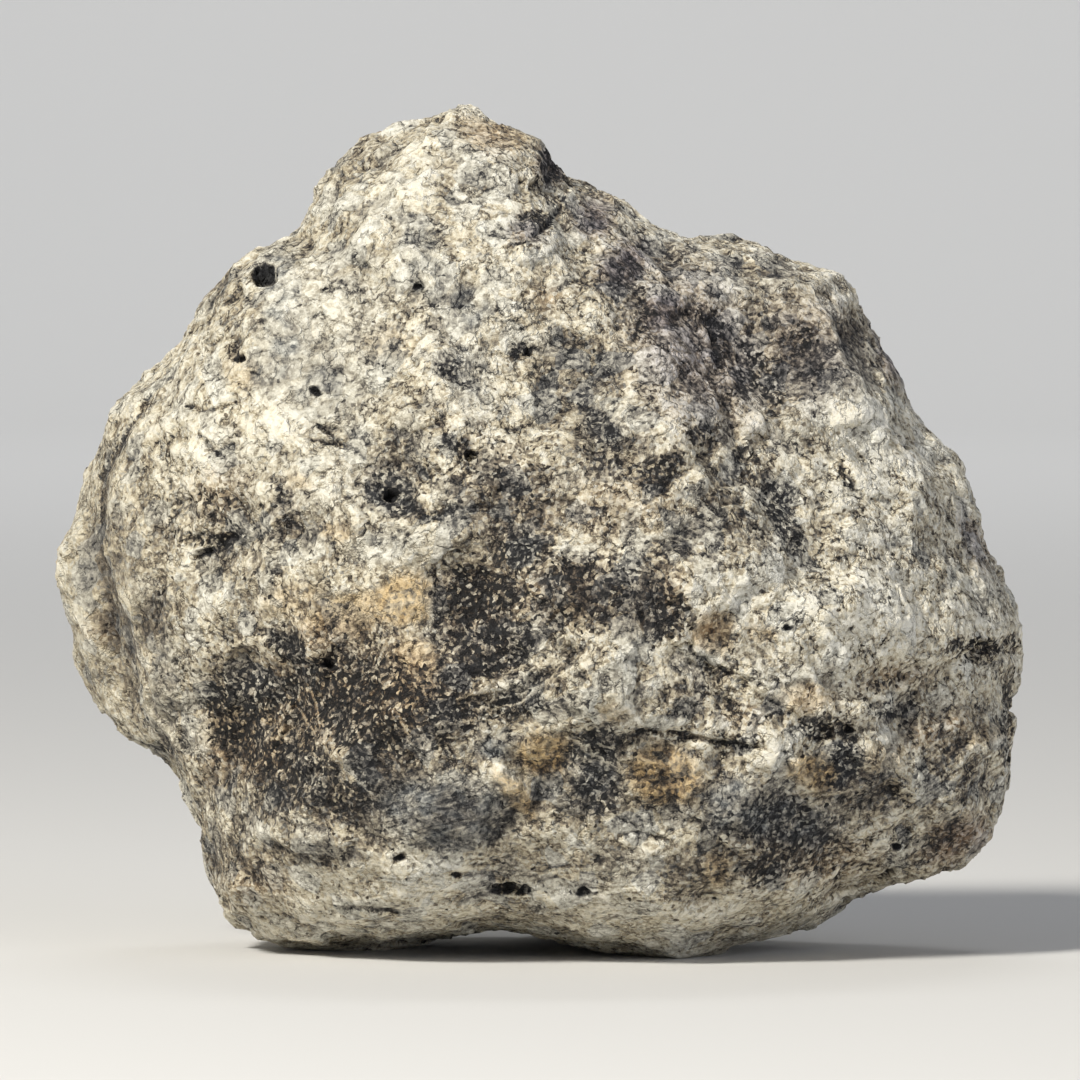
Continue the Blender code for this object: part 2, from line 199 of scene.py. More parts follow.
def evaluated_copy(thing):
    """The mesh that an object shows once its modifiers have run."""
    depsgraph = bpy.context.evaluated_depsgraph_get()
    return bpy.data.meshes.new_from_object(thing.evaluated_get(depsgraph))


wrapped = add_object("wrapped", start_data)
wrap = wrapped.modifiers.new("wrap", "REMESH")
wrap.mode = "VOXEL"
wrap.voxel_size = SKIN_SQUARE * MM
skin_data = evaluated_copy(wrapped)
bpy.data.objects.remove(wrapped)

skin_form = bmesh.new()
skin_form.from_mesh(skin_data)
for _ in range(MELTING_ROUNDS):
    bmesh.ops.smooth_vert(
        skin_form, verts=skin_form.verts[:], factor=0.5, use_axis_x=True, use_axis_y=True, use_axis_z=True)
skin_form.to_mesh(skin_data)
skin_form.free()
print("the skin has", len(skin_data.polygons), "squares")

# %% [markdown]
# ## Moving many points at once
#
# Sculpting in code is moving points. numpy moves all of them together: `places` reads where they are, in
# millimetres, and `push` moves each one along its own normal. The three flat spots on which the stone
# rests stay put.

# %% Read and push the points
REST_HEIGHT = 0.9


def places():
    """Where every point of the skin is, in millimetres."""
    flat = np.empty(len(skin_data.vertices) * 3)
    skin_data.vertices.foreach_get("co", flat)
    return flat.reshape(-1, 3) / MM


def normals():
    """Which way the skin faces at every point."""
    flat = np.empty(len(skin_data.vertices) * 3)
    skin_data.vertex_normals.foreach_get("vector", flat)
    return flat.reshape(-1, 3)


def put_places(place):
    """Put every point of the skin at a place in millimetres."""
    skin_data.vertices.foreach_set("co", (place * MM).ravel())
    skin_data.update()


def push(height):
    """Push every point out along its normal by a height in millimetres, and none of the resting spots."""
    place = places()
    off_the_ground = ease(place[:, 2] / REST_HEIGHT)
    moved = place + normals() * (height * off_the_ground)[:, None]
    moved[:, 2] = np.maximum(moved[:, 2], 0.0)
    put_places(moved)


# %% [markdown]
# ## Noise for many points at once
#
# Blender has noise functions, but they take one point per call, which is slow for 200,000 points. The same
# two patterns are short to write for whole arrays. Both start from `scatter`, which turns the number of a
# cell of space to random numbers that are the same on every run.

# %% Soft noise and scattered seeds
def scatter(cell, salt=0):
    """Three random numbers from 0 to 1 for every cell of space, the same ones each time."""
    mixed = cell.astype(np.int64) @ np.array((73856093, 19349663, 83492791)) + 7919 * salt
    found = []
    for _ in range(3):
        mixed = ((mixed ^ (mixed >> 15)) * 0x2C1B3C6D + 12345) & 0xFFFFFFFF
        mixed = ((mixed ^ (mixed >> 12)) * 0x297A2D39) & 0xFFFFFFFF
        found.append((mixed ^ (mixed >> 15)) / 0xFFFFFFFF)
    return np.stack(found, axis=1)


def soft_noise(place):
    """Smooth noise, zero on average, that rises or falls about once per unit."""
    cell = np.floor(place)
    inside = place - cell
    blend = inside ** 3 * (inside * (inside * 6.0 - 15.0) + 10.0)
    found = np.zeros(len(place))
    for corner in product((0.0, 1.0), repeat=3):
        slope = scatter(cell + corner) * 2.0 - 1.0
        share = np.where(corner, blend, 1.0 - blend).prod(axis=1)
        found += share * np.einsum("ij,ij->i", slope, inside - corner)
    return found


# Each further layer of noise is this much finer, lies elsewhere and is weaker.
FINER = 2.1
ELSEWHERE = 17.3
WEAKER = 0.55


def layered_noise(place, layers):
    """Soft noise with finer and weaker layers on top of it."""
    return sum(
        soft_noise(place * FINER ** layer + ELSEWHERE * layer) * WEAKER ** layer for layer in range(layers))


def two_seeds(place):
    """Distances to the nearest two of the seeds scattered one to a cell, and where these seeds are."""
    cell = np.floor(place)
    distance = np.full((2, len(place)), 9.0)
    seed = np.zeros((2, len(place), 3))
    for corner in product((-1.0, 0.0, 1.0), repeat=3):
        candidate = cell + corner
        candidate += scatter(candidate, salt=1)
        reach = np.linalg.norm(candidate - place, axis=1)
        second = (reach < distance[1]) & (reach >= distance[0])
        first = reach < distance[0]
        distance[1] = np.where(first, distance[0], np.where(second, reach, distance[1]))
        seed[1] = np.where(first[:, None], seed[0], np.where(second[:, None], candidate, seed[1]))
        distance[0] = np.where(first, reach, distance[0])
        seed[0] = np.where(first[:, None], candidate, seed[0])
    return distance, seed


def rough(scale, layers=3, shift=0.0):
    """Layered noise at every point of the skin, with lumps about scale millimetres across."""
    return layered_noise(places() / scale + shift * np.array((1.0, 2.0, -1.0)), layers)


def drift(place):
    """A smoothly changing move, of up to about half a unit, which bends straight patterns."""
    return np.stack([soft_noise(place + shift) for shift in (11.3, 27.9, 43.1)], axis=1)


def bent_places(scale, bend, waves=1.7):
    """Every point in units of scale millimetres, pushed about by soft noise so that straight edges bend."""
    spread = places() / scale
    return spread + bend * drift(spread * waves)


print("noise ranges over", np.round(np.percentile(rough(6.0), (2, 98)), 2))

# %% [markdown]
# ## How brittle rock breaks
#
# A fresh break in basalt isn't bumpy like dough: it is made of flat facets that slant every way and meet
# at crisp edges, with smaller facets on the larger ones. Smoothing has melted the large ones. So the skin
# is split into cells, and each cell is pressed onto the flat plane that fits it best.


# %% Flatten the skin cell by cell
# No point is pressed further than this many millimetres, and a cell of so few points is left alone.
FURTHEST_PRESS = 0.8
FEWEST_POINTS = 20
# Large numbers that turn a cell's seed to one number of its own.
SEED_TO_NUMBER = np.array((1, 1000003, 999983000017))


def flatten(scale, amount, edge=0.10):
    """Press cells about scale millimetres across onto their own best planes, by an amount from 0 to 1."""
    place = places()
    distance, seed = two_seeds(bent_places(scale, 0.3))
    both = np.round(seed.reshape(-1, 3) * 1000.0).astype(np.int64)
    number = np.unique(both @ SEED_TO_NUMBER, return_inverse=True)[1].reshape(2, -1)
    nearest = number[0]
    cells = number.max() + 1
    count = np.maximum(np.bincount(nearest, minlength=cells), 1)
    sums = np.stack([np.bincount(nearest, place[:, axis], cells) for axis in range(3)], axis=1)
    middle = sums / count[:, None]
    beside = place - middle[nearest]
    lie = np.empty((cells, 3, 3))
    for one, other in product(range(3), repeat=2):
        lie[:, one, other] = np.bincount(nearest, beside[:, one] * beside[:, other], cells)
    upright = np.linalg.eigh(lie)[1][:, :, 0]
    first_share = 0.5 + 0.5 * np.minimum((distance[1] - distance[0]) / edge, 1.0)
    moved = place.copy()
    for cell, share in zip(number, (first_share, 1.0 - first_share)):
        above = np.einsum("ij,ij->i", place - middle[cell], upright[cell])
        above = np.clip(above, -FURTHEST_PRESS, FURTHEST_PRESS) * (count[cell] > FEWEST_POINTS)
        above = above * ease(place[:, 2] / REST_HEIGHT)
        moved -= amount * (share * above)[:, None] * upright[cell]
    put_places(moved)
    return cells


print("flattened", flatten(8.0, 0.9), "large cells and", flatten(4.2, 0.7), "small ones")

# %% [markdown]
# ## The front view
#
# The marks on the front are given as (across, up) in millimetres, as the camera sees them on an upright
# sheet through the middle of the stone. `front_view` works out those two numbers for every point, and
# `facing` says how much each point looks towards the camera, so that no mark falls on the back.


# %% Look at the points from the front
def front_view():
    """Across and up, in millimetres, of every point as the camera sees it."""
    from_camera = places() - np.array(AIM + towards_camera * CAMERA_DISTANCE)
    upwards = np.array((0.0, math.sin(CAMERA_RISE), math.cos(CAMERA_RISE)))
    depth = -from_camera @ np.array(towards_camera)
    across = AIM.x + from_camera[:, 0] * CAMERA_DISTANCE / depth
    up = AIM.z + (from_camera @ upwards) * CAMERA_DISTANCE / depth
    return np.stack((across, up), axis=1)


def facing():
    """1 where the skin looks at the camera, 0 where it looks away."""
    return ease((normals() @ np.array(towards_camera)) / 0.25 + 0.2)


def oval(view, across, up, half_across, half_up, turn=0.0, edge=1.0):
    """1 in the middle of an oval in the front view, 0 from its rim outwards."""
    angle = math.radians(turn)
    beside = view - np.array((across, up))
    along = (beside[:, 0] * math.cos(angle) + beside[:, 1] * math.sin(angle)) / half_across
    over = (beside[:, 1] * math.cos(angle) - beside[:, 0] * math.sin(angle)) / half_up
    return ease((1.0 - np.hypot(along, over)) / edge)


def off_route(view, route):
    """Distance from a route of (across, up) points, and how far to the right of it, for every point."""
    nearest = np.full(len(view), 1e9)
    right = np.zeros(len(view))
    for start, end in zip(route, route[1:]):
        start = np.array(start)
        run = np.array(end) - start
        beside = view - start
        share = np.clip(beside @ run / (run @ run), 0.0, 1.0)
        distance = np.linalg.norm(beside - share[:, None] * run, axis=1)
        closer = distance < nearest
        right[closer] = ((beside[:, 0] * run[1] - beside[:, 1] * run[0]) / np.linalg.norm(run))[closer]
        nearest = np.minimum(nearest, distance)
    return nearest, right


print("the stone is seen from", np.round(front_view().min(0), 1), "to", np.round(front_view().max(0), 1))

# %% [markdown]
# ## Ledges, hollows and lumps
#
# The solid already has the big forms. Smoothing has blunted its steps, so they are cut again, a little
# sharper, along the same lines: a sheet of rock ends at each of these lines and leaves a small cliff.


# %% Cut the steps sharp again
def cut_step(view, route, height, fade, lip=0.7):
    """Sink the ground on the right of a route, steeply at the route and less with distance."""
    distance, right = off_route(view, route)
    end_fade = ease(1.0 - np.maximum(distance - np.abs(right), 0.0) / (0.3 * fade))
    sunk = ease(right / lip) * np.clip(1.0 - distance / fade, 0.0, 1.0)
    return -height * sunk * end_fade


def ragged_view(amount, scale=2.2):
    """The front view, pushed about by some millimetres, so that edges drawn in it are ragged."""
    push_across = rough(scale, 3, 5.0)
    push_up = rough(scale, 3, 9.0)
    return front_view() + amount * np.stack((push_across, push_up), axis=1)


# Each is a route of (across, up) points, a height, and how far off the step has faded.
STEPS = (
    (((11.0, 46.2), (14.6, 49.0), (17.8, 51.8)), -0.9, 5.0),
    (((-10.6, 32.0), (-10.9, 37.0), (-10.4, 40.0)), 0.35, 6.0),
    (((-8.0, 25.9), (-4.0, 26.9), (-1.0, 28.6), (2.0, 31.0)), 0.8, 3.5),
    (((-36.0, 40.5), (-33.0, 42.0), (-30.5, 43.0)), 0.9, 4.0),
    (((-19.0, 50.4), (-16.5, 51.0), (-12.5, 50.2)), 0.6, 4.0),
    (((14.8, 31.2), (18.6, 29.0), (21.0, 27.0), (24.6, 25.4)), 0.8, 3.5),
    (((41.0, 30.6), (44.0, 31.8), (49.0, 31.6)), 0.6, 4.0),
    (((10.0, 22.8), (15.0, 22.2), (20.0, 21.4)), 0.8, 3.5),
    (((35.5, 24.2), (32.0, 23.5), (29.0, 23.6), (26.0, 24.2)), -0.7, 3.5),
    (((28.0, 5.0), (31.5, 6.6), (36.0, 8.0)), 0.8, 3.0),
    (((16.4, 67.0), (17.6, 62.5), (18.6, 58.8)), 0.8, 3.0),
    (((20.0, 64.0), (22.4, 60.4), (24.2, 56.6)), 0.6, 3.0),
    (((2.4, 80.0), (2.6, 77.4), (0.4, 75.0)), 0.8, 3.0),
)
view = ragged_view(0.9)
push(sum(cut_step(view, route, height, fade) for route, height, fade in STEPS) * facing())
print("cut", len(STEPS), "steps")

# %% Press hollows and raise lumps
# Each is across, up, half width, half height, turn in degrees, and how deep it is pressed.
HOLLOWS = (
    (-12.3, 68.2, 1.3, 1.2, 0, 0.49), (-6.8, 66.2, 1.7, 1.5, 0, 0.35), (-23.6, 62.6, 0.8, 0.7, 0, 0.21),
    (-9.4, 59.4, 2.4, 1.2, -30, 0.42), (-7.3, 58.6, 1.6, 0.9, 20, 0.35), (-2, 61.6, 1.9, 1.1, 10, 0.42),
    (-15.2, 46.8, 3, 2.4, -35, 0.63), (-7.4, 51, 2.2, 1.8, -20, 0.56), (-5.8, 54.2, 2.2, 1.2, 20, 0.28),
    (-12, 44.6, 3.2, 0.9, -8, 0.42), (-26, 31.6, 2.2, 1.6, -30, 0.56), (-21.8, 29.6, 1.6, 1, 0, 0.56),
    (-31, 23.5, 3.5, 3, 20, 0.49), (23.7, 46.4, 1.2, 2.8, 20, 0.49), (31.6, 48.6, 0.9, 2.2, 25, 0.42),
    (21.4, 50.8, 1.4, 0.9, 0, 0.35), (28, 22.8, 2.6, 1.4, -10, 0.56), (31.6, 19.4, 1.5, 2.6, -25, 0.56),
    (5.8, 53.8, 1.8, 2.6, 20, 0.42), (12.4, 34.6, 3, 3.2, 0, 0.49), (1, 38, 3.5, 2, 20, 0.35),
    (18, 62.5, 1, 3.2, 8, 0.42), (22.6, 60.6, 1, 3.4, 30, 0.42), (36.5, 24.4, 2.4, 1.2, 0, 0.35),
    (44.2, 31.2, 2.2, 1.2, -10, 0.63), (-33.2, 41.6, 2.2, 1, 28, 0.63), (6.2, 17, 2.6, 4, 0, 0.42),
    (19.6, 21.4, 2.4, 0.9, -8, 0.49),
)
LUMPS = (
    (-2.6, 67.2, 2, 2.6, 0, 0.36), (-13, 78.6, 3, 3, 0, 0.3), (-18, 79, 3, 2.4, 10, 0.24),
    (-17.2, 73.8, 2.6, 1.8, 0, 0.24), (-33.6, 37, 2.6, 2.8, 0, 0.3), (12.2, 53.4, 2.4, 2.6, 0, 0.36),
    (21.4, 47, 2.2, 1.8, 0, 0.36), (33, 42, 2.6, 2.2, 0, 0.3), (22.4, 53.6, 2.4, 1.3, 10, 0.3),
    (6, 27.2, 4.4, 3.8, 20, 0.54), (14, 26, 4.6, 3.2, 10, 0.36), (0.6, 20, 3, 2.6, 0, 0.3),
    (13, 18, 4, 3.4, 0, 0.3), (28.2, 18.2, 3, 2, 0, 0.3), (18.2, 8.2, 1.8, 2, 0, 0.24),
    (28.6, 68.6, 1.6, 1.4, 0, 0.3), (31.2, 66.8, 1.5, 1.2, -20, 0.3), (-15, 36.5, 3.8, 3, 10, 0.24),
    (-2.4, 15.8, 3.4, 1.3, -45, 0.24), (-28.6, 12, 1.4, 1.1, 0, 0.3), (-24, 11.8, 1.3, 1, 0, 0.3),
    (-5, 36, 6.5, 6, 0, 0.9),
)
view = ragged_view(0.5)
pressed = np.zeros(len(view))
for marks, sign, widen, edge in ((HOLLOWS, 1.0, 1.3, 1.0), (LUMPS, -1.0, 1.1, 0.4)):
    for across, up, half_across, half_up, turn, depth in marks:
        inside = oval(view, across, up, widen * half_across, widen * half_up, turn, edge)
        pressed += sign * depth * inside
push(-pressed * facing())
print("the deepest is", round(pressed.max(), 1), "mm")

# %% [markdown]
# ## Small facets
#
# Smaller facets lie on the large ones. Each cell is one facet, and a random vector from its centre says
# how it slants. Where the rock is fine-grained, low on the front, it broke smooth, so a `smooth` field
# takes the facets down there.

# %% Where the rock is smooth
# Each is across, up, half width, half height, turn in degrees, and how smooth it is.
SMOOTH_PLACES = (
    (-11, 14, 10, 5.5, 0, 1), (-6, 6, 30, 6, 0, 0.9), (14, 4, 16, 4.5, 0, 1), (24, 14, 9, 4, -8, 0.7),
    (-26.5, 65, 3.2, 9, 6, 0.6), (-31, 13, 6, 4, 0, 0.6), (-44.5, 36, 6.5, 18, 0, 0.8),
    (29, 59, 5, 5, 0, 0.5), (-16, 36, 7, 4.5, 10, 0.8), (-6, 34, 6, 8, 0, 0.6),
)


def brushed(view, marks, rim, widen=1.12):
    """The strongest of some oval marks at every point; rim is the soft share of each."""
    found = np.zeros(len(view))
    for across, up, half_across, half_up, turn, strength in marks:
        mark = strength * oval(view, across, up, widen * half_across, widen * half_up, turn, rim)
        found = np.maximum(found, mark)
    return found


def smooth_field():
    """0 where the rock broke rough, up to 1 where it broke smooth."""
    found = brushed(ragged_view(1.2, 4.0), SMOOTH_PLACES, 0.7, 1.3)
    return found * facing() + 0.5 * ease(rough(15.0, 2, 31.0) * 1.5) * (1.0 - facing())


# %% Split the skin into facets
def facets(scale, bevel):
    """Heights of slanted flat facets about scale millimetres across, as a share of their size."""
    bent = bent_places(scale, 0.35)
    distance, seed = two_seeds(bent)
    sides = []
    for nearby in seed:
        slant = scatter(np.round(nearby * 1000.0), salt=2) * 2.0 - 1.0
        sides.append(np.einsum("ij,ij->i", bent - nearby, slant) + 0.12 * (slant[:, 0] + slant[:, 1]))
    share = 0.5 - 0.5 * np.minimum((distance[1] - distance[0]) / bevel, 1.0)
    return sides[0] * (1.0 - share) + sides[1] * share


smooth = smooth_field()
flatten(3.0, 0.6)
push(0.55 * facets(7.5, 0.05) * (1.0 - 0.7 * smooth))
push(0.22 * facets(3.0, 0.08) * (1.0 - 0.8 * smooth))
push(0.17 * facets(1.4, 0.12) * (1.0 - 0.7 * smooth))
print("facets from 7 mm down to 1.4 mm")


# %% Break the skin into thin ledges
def terraces(scale, treads, riser=0.22, shift=0.0):
    """Flat treads with steep risers between them, which follow the contour lines of noise."""
    level = treads * rough(scale, 4, shift)
    tread = np.floor(level)
    return tread + ease((level - tread - 0.5) / riser + 0.5)


TREAD_HEIGHT = 0.20
ledges = terraces(8.0, 5.0, shift=51.0)
push(TREAD_HEIGHT * (ledges - ledges.mean()) * (1.0 - 0.85 * smooth))
print("ledges on", len(np.unique(np.floor(ledges))), "levels,", TREAD_HEIGHT, "mm apart")

# %% [markdown]
# ## Streaks
#
# Where the rock was sheared, its grains and scratches run in one direction: steeply down to the right on
# the dark strip below the peak, up to the right on the lower right side, and level near the ground. Two
# numbers per point, along the streaks and across them, let both the relief and the material draw lines
# that follow them.

# %% Lay out the streaks
# Each is across, up, half length, half width, the direction in degrees, and strength.
STREAKS = (
    (10, 68, 17, 6.5, -57, 1), (21, 61, 9, 4, -62, 1), (42, 19, 13, 8, 36, 0.9), (-4, 35, 10, 8, 28, 0.6),
    (-2, 6, 34, 7, 0, 0.9), (-12, 14, 12, 6, 14, 0.7), (13, 44, 9, 3.5, -38, 0.7),
    (1, 28, 10, 3.5, 32, 0.8), (4, 19, 6, 3.5, -40, 0.6), (-15, 41, 9, 3, 16, 0.7), (24, 13, 11, 5, 4, 0.5),
)
STREAK_LENGTH = 5.0
STREAK_WIDTH = 0.42


def streak_places():
    """Along and across the streaks in millimetres, the number of the streaked place, and its strength."""
    view = ragged_view(1.0, 5.0)
    turned = math.radians(25.0)
    found = np.zeros((len(view), 3))
    found[:, 0] = view @ (math.cos(turned), math.sin(turned))
    found[:, 1] = view @ (-math.sin(turned), math.cos(turned))
    strength = 0.6 * ease(rough(18.0, 2, 83.0) * 3.0) * (1.0 - facing())
    for number, (across, up, half_long, half_wide, turn, most) in enumerate(STREAKS, start=1):
        here = most * oval(view, across, up, half_long, half_wide, turn, 0.8) * facing()
        stronger = here > strength
        angle = math.radians(turn)
        beside = view[stronger] - (across, up)
        found[stronger, 0] = beside @ (math.cos(angle), math.sin(angle))
        found[stronger, 1] = beside @ (-math.sin(angle), math.cos(angle))
        found[stronger, 2] = 10.0 * number
        strength = np.maximum(strength, here)
    return found, strength


along_streaks, streaked = streak_places()
coarse_streaks = soft_noise(along_streaks / (7.0, 1.5, 1.0))
coarse_streaks = coarse_streaks + 0.6 * soft_noise(along_streaks / (5.0, 0.8, 1.0))
push(0.30 * coarse_streaks * streaked * (1.0 - 0.6 * smooth))
print("streaks cover", round(100.0 * float((streaked > 0.3).mean())), "per cent of the skin")

# %% [markdown]
# ## Clumps of grains
#
# On the right of the front the feldspar stands in rounded clumps with sharp gaps between them, like a
# cauliflower. The distance to the nearest seed gives the round tops, and how close the second nearest
# one is gives the gaps.


# %% Raise the clumps
def clumps(scale):
    """Heights of rounded clumps about scale millimetres across, with sharp gaps between them."""
    distance = two_seeds(bent_places(scale, 0.4, 2.1))[0]
    heights = np.minimum((distance[1] - distance[0]) / 0.3, 1.0) - 0.6 * distance[0]
    return heights - heights.mean()


# Each is across, up, half width, half height, turn in degrees, and how tall its clumps are.
CLUMPED_PLACES = (
    (30, 34, 18, 8, 0, 1), (14, 26, 7, 5, 0, 1), (10, 68, 5, 12, -35, 0.7), (-33, 60, 6, 9, 30, 0.6),
    (30, 8, 7, 3, 0, 0.7), (-27, 11, 6, 2.5, 0, 0.8),
)
LEAST_CLUMPED = 0.25
clumped = brushed(ragged_view(1.2, 4.0), CLUMPED_PLACES, 0.6, 1.0) * facing()
clumped = np.maximum(clumped, LEAST_CLUMPED)
push(0.12 * clumps(1.7) * clumped * (1.0 - 0.9 * smooth))
push(0.06 * rough(0.9, 2, 7.0) * (1.0 - 0.5 * smooth))
print("clumps are", round(clumped.min(), 2), "to", round(clumped.max(), 2), "of their height")

# %% [markdown]
# ## Cracks, veins and pits
#
# Cracks are thin V grooves along a route. Veins are thin seams of pale glass that stand a little proud.
# Pits are gas bubbles that the break has opened, or holes where a grain fell out, with steep walls. The
# distances found here are kept, because the colour of cracks, veins and pits follows them too; inside the
# pits that colour is painted shade.

# %% Draw the routes of cracks and veins
CRACKS = (
    ((2.0, 68.0), (3.4, 68.9), (4.9, 68.3)),
    ((-24.0, 52.6), (-20.2, 52.1), (-18.4, 50.6)),
    ((-23.4, 54.2), (-21.0, 52.8), (-19.8, 51.4)),
    ((-35.0, 53.0), (-33.8, 51.6), (-32.4, 50.4)),
    ((-36.5, 56.0), (-34.5, 55.3), (-31.6, 56.4)),
    ((18.0, 52.2), (14.6, 49.0), (10.8, 46.0)),
    ((18.6, 29.0), (20.4, 27.6), (22.4, 26.0), (24.4, 25.2)),
    ((15.0, 31.4), (17.4, 29.0)),
    ((-20.5, 4.3), (-17.0, 4.2), (-15.2, 3.6)),
    ((8.0, 11.6), (10.5, 12.0), (12.8, 11.6)),
    ((44.2, 31.6), (46.8, 30.8), (49.4, 30.4)),
    ((-0.4, 73.4), (1.6, 75.6), (2.6, 77.8), (3.0, 80.4)),
    ((-40.2, 57.0), (-43.0, 52.4), (-44.9, 49.0), (-45.2, 44.0)),
    ((17.4, 45.6), (18.8, 44.4), (19.4, 42.8)),
    ((30.8, 50.4), (31.6, 48.6), (32.8, 46.4)),
    ((-10.9, 38.8), (-10.8, 33.2)),
    ((16.6, 66.2), (17.8, 62.6), (18.5, 59.6)),
    ((20.2, 61.0), (22.4, 58.8), (23.4, 56.2)),
    ((-9.8, 61.0), (-8.8, 59.6), (-6.6, 59.0)),
    ((10.0, 22.6), (14.0, 22.2), (18.0, 21.4), (23.0, 20.6)),
    ((-35.2, 40.4), (-33.0, 41.4), (-30.6, 43.0)),
)
VEINS = (
    ((7.0, 51.2), (8.2, 48.4), (10.2, 46.2), (12.2, 44.2), (15.4, 41.6), (17.4, 40.0)),
    ((2.6, 75.4), (1.0, 73.0), (-0.6, 70.2)),
    ((-8.0, 21.2), (-5.6, 22.6), (-3.0, 22.2), (0.4, 23.0)),
    ((-23.8, 27.2), (-22.6, 23.0), (-20.2, 19.2), (-16.8, 15.6)),
    ((-24.9, 24.8), (-22.0, 20.6), (-19.4, 17.8)),
    ((-14.8, 24.2), (-12.6, 20.2)),
    ((2.6, 22.2), (5.0, 20.2), (8.4, 18.4)),
    ((-27.8, 29.8), (-25.6, 29.2), (-23.6, 29.4)),
    ((-8.2, 26.0), (-4.0, 27.0), (-0.8, 28.8), (1.8, 30.8)),
    ((-7.6, 27.8), (-4.6, 27.6), (-1.8, 29.4), (0.4, 31.4)),
    ((-6.2, 24.8), (-3.0, 25.2), (-0.4, 26.6), (1.6, 28.8), (2.6, 30.0)),
    ((-9.4, 23.4), (-6.6, 23.8), (-3.4, 23.2)),
    ((9.0, 47.4), (10.6, 44.6), (13.0, 42.4), (14.0, 40.0)),
    ((6.2, 53.6), (7.0, 51.2), (6.6, 49.0)),
    ((29.6, 15.9), (32.6, 16.5)),
    ((20.2, 63.4), (19.4, 62.0), (21.6, 60.6)),
)
# Each is across, up, half width, half height, turn in degrees, and depth.
PITS = (
    (-28.4, 69.5, 1.55, 1.35, 10, 2.4), (-23.25, 57.5, 0.75, 0.5, -35, 0.9),
    (-7.3, 50.9, 0.75, 0.7, 0, 1.3), (-15.4, 46.8, 0.9, 0.85, 20, 1.4), (31.7, 22.65, 0.75, 0.62, 20, 1.2),
    (-3.1, 6.2, 2.6, 0.75, -3, 1.6), (4.2, 5.9, 0.85, 0.6, 20, 1), (-12.6, 68.3, 0.6, 0.4, 0, 0.6),
    (-8.8, 7.7, 0.6, 0.4, 0, 0.6), (-14.5, 9.5, 0.7, 0.42, 0, 0.6), (25.3, 33.2, 0.5, 0.45, 0, 0.6),
    (36.5, 10.6, 0.6, 0.42, 0, 0.6), (-30.9, 60.8, 0.7, 0.42, 10, 0.5), (-1.4, 61.5, 0.6, 0.45, 0, 0.7),
    (-22, 29.4, 0.8, 0.6, 0, 0.9),
)
CRACK_HALF_WIDTH = 0.45
CRACK_DEPTH = 0.45
VEIN_HALF_WIDTH = 0.42
VEIN_HEIGHT = 0.06


def near_routes(view, routes, half_width):
    """1 on any of the routes, 0 from half_width away."""
    found = np.zeros(len(view))
    for route in routes:
        found = np.maximum(found, ease(1.0 - off_route(view, route)[0] / half_width))
    return found


def side_of_routes(view, routes):
    """Millimetres off the nearest route at every point: above 0 on its right, below 0 on its left."""
    nearest = np.full(len(view), 1e9)
    side = np.zeros(len(view))
    for route in routes:
        distance, right = off_route(view, route)
        closer = distance < nearest
        nearest[closer] = distance[closer]
        side[closer] = (np.sign(right) * distance)[closer]
    return np.clip(side, -3.0, 3.0)


def crack_fades():
    """How strongly cracks show from place to place: each fades and comes back along its route."""
    return np.clip(0.8 + 1.4 * rough(2.8, 2, 37.0), 0.35, 1.0)


fine_view = ragged_view(0.6, 2.0)
looks_front = facing()
block_distance = two_seeds(places() / 19.0 + 0.5 * drift(places() / 8.0))[0]
far_side_cracks = ease(1.0 - (block_distance[1] - block_distance[0]) / 0.035)
far_side_cracks *= ease(rough(9.0, 2, 17.0) * 4.0) * (1.0 - looks_front)
grooves = near_routes(fine_view, CRACKS, CRACK_HALF_WIDTH)
push(-CRACK_DEPTH * grooves * crack_fades() * looks_front - 0.5 * far_side_cracks)
push(VEIN_HEIGHT * near_routes(fine_view, VEINS, VEIN_HALF_WIDTH) * looks_front)
push(-brushed(ragged_view(0.25, 1.2), PITS, 0.5, 1.0) * looks_front)
print("drew", len(CRACKS), "cracks,", len(VEINS), "veins and", len(PITS), "pits")

# %% [markdown]
# ## Thin the skin where it is flat
#
# The skin has more squares than a part should carry. The Decimate modifier joins them where the skin is
# nearly flat and leaves them where it bends, so cracks and facet edges stay sharp.

# %% Thin it
MOST_TRIANGLES = 196000
SHARP_ANGLE = 48.0

dense = add_object("dense", skin_data)
thin = dense.modifiers.new("thin", "DECIMATE")
thin.ratio = MOST_TRIANGLES / (2 * len(skin_data.polygons))
thin.use_collapse_triangulate = True
skin_data = evaluated_copy(dense)
bpy.data.objects.remove(dense)
skin_data.name = "stone skin"
skin_data.shade_smooth()
skin_data.set_sharp_from_angle(angle=math.radians(SHARP_ANGLE))
print("the skin now has", len(skin_data.polygons), "triangles")

# %% [markdown]
# ## Painted shade in hollows and painted light on edges
#
# The material paints shade into hollows and light onto edges. Both follow from the shape: a copy of the skin
# is relaxed, and a point that lies under the relaxed skin is in a hollow, one that stands above it is on an
# edge. Relaxing is an average over neighbours, done many times.


# %% Measure hollows and edges
def relaxed(place, rounds):
    """The points after each has moved to the middle of its neighbours some times."""
    count = len(place)
    ends = np.empty(len(skin_data.edges) * 2, dtype=int)
    skin_data.edges.foreach_get("vertices", ends)
    one, other = ends.reshape(-1, 2).T
    neighbours = np.bincount(one, minlength=count) + np.bincount(other, minlength=count)
    for _ in range(rounds):
        sums = [np.bincount(one, place[other, axis], count) + np.bincount(other, place[one, axis], count)
                for axis in range(3)]
        place = 0.5 * place + 0.5 * np.stack(sums, axis=1) / neighbours[:, None]
    return place


def depth_under(rounds):
    """How far every point lies under the relaxed skin, in millimetres; less than 0 is above it."""
    place = places()
    return np.einsum("ij,ij->i", relaxed(place, rounds) - place, normals())


fine_depth = depth_under(6)
broad_depth = depth_under(80)
print("hollows are down to", round(fine_depth.max(), 2), "and", round(broad_depth.max(), 2), "mm deep")
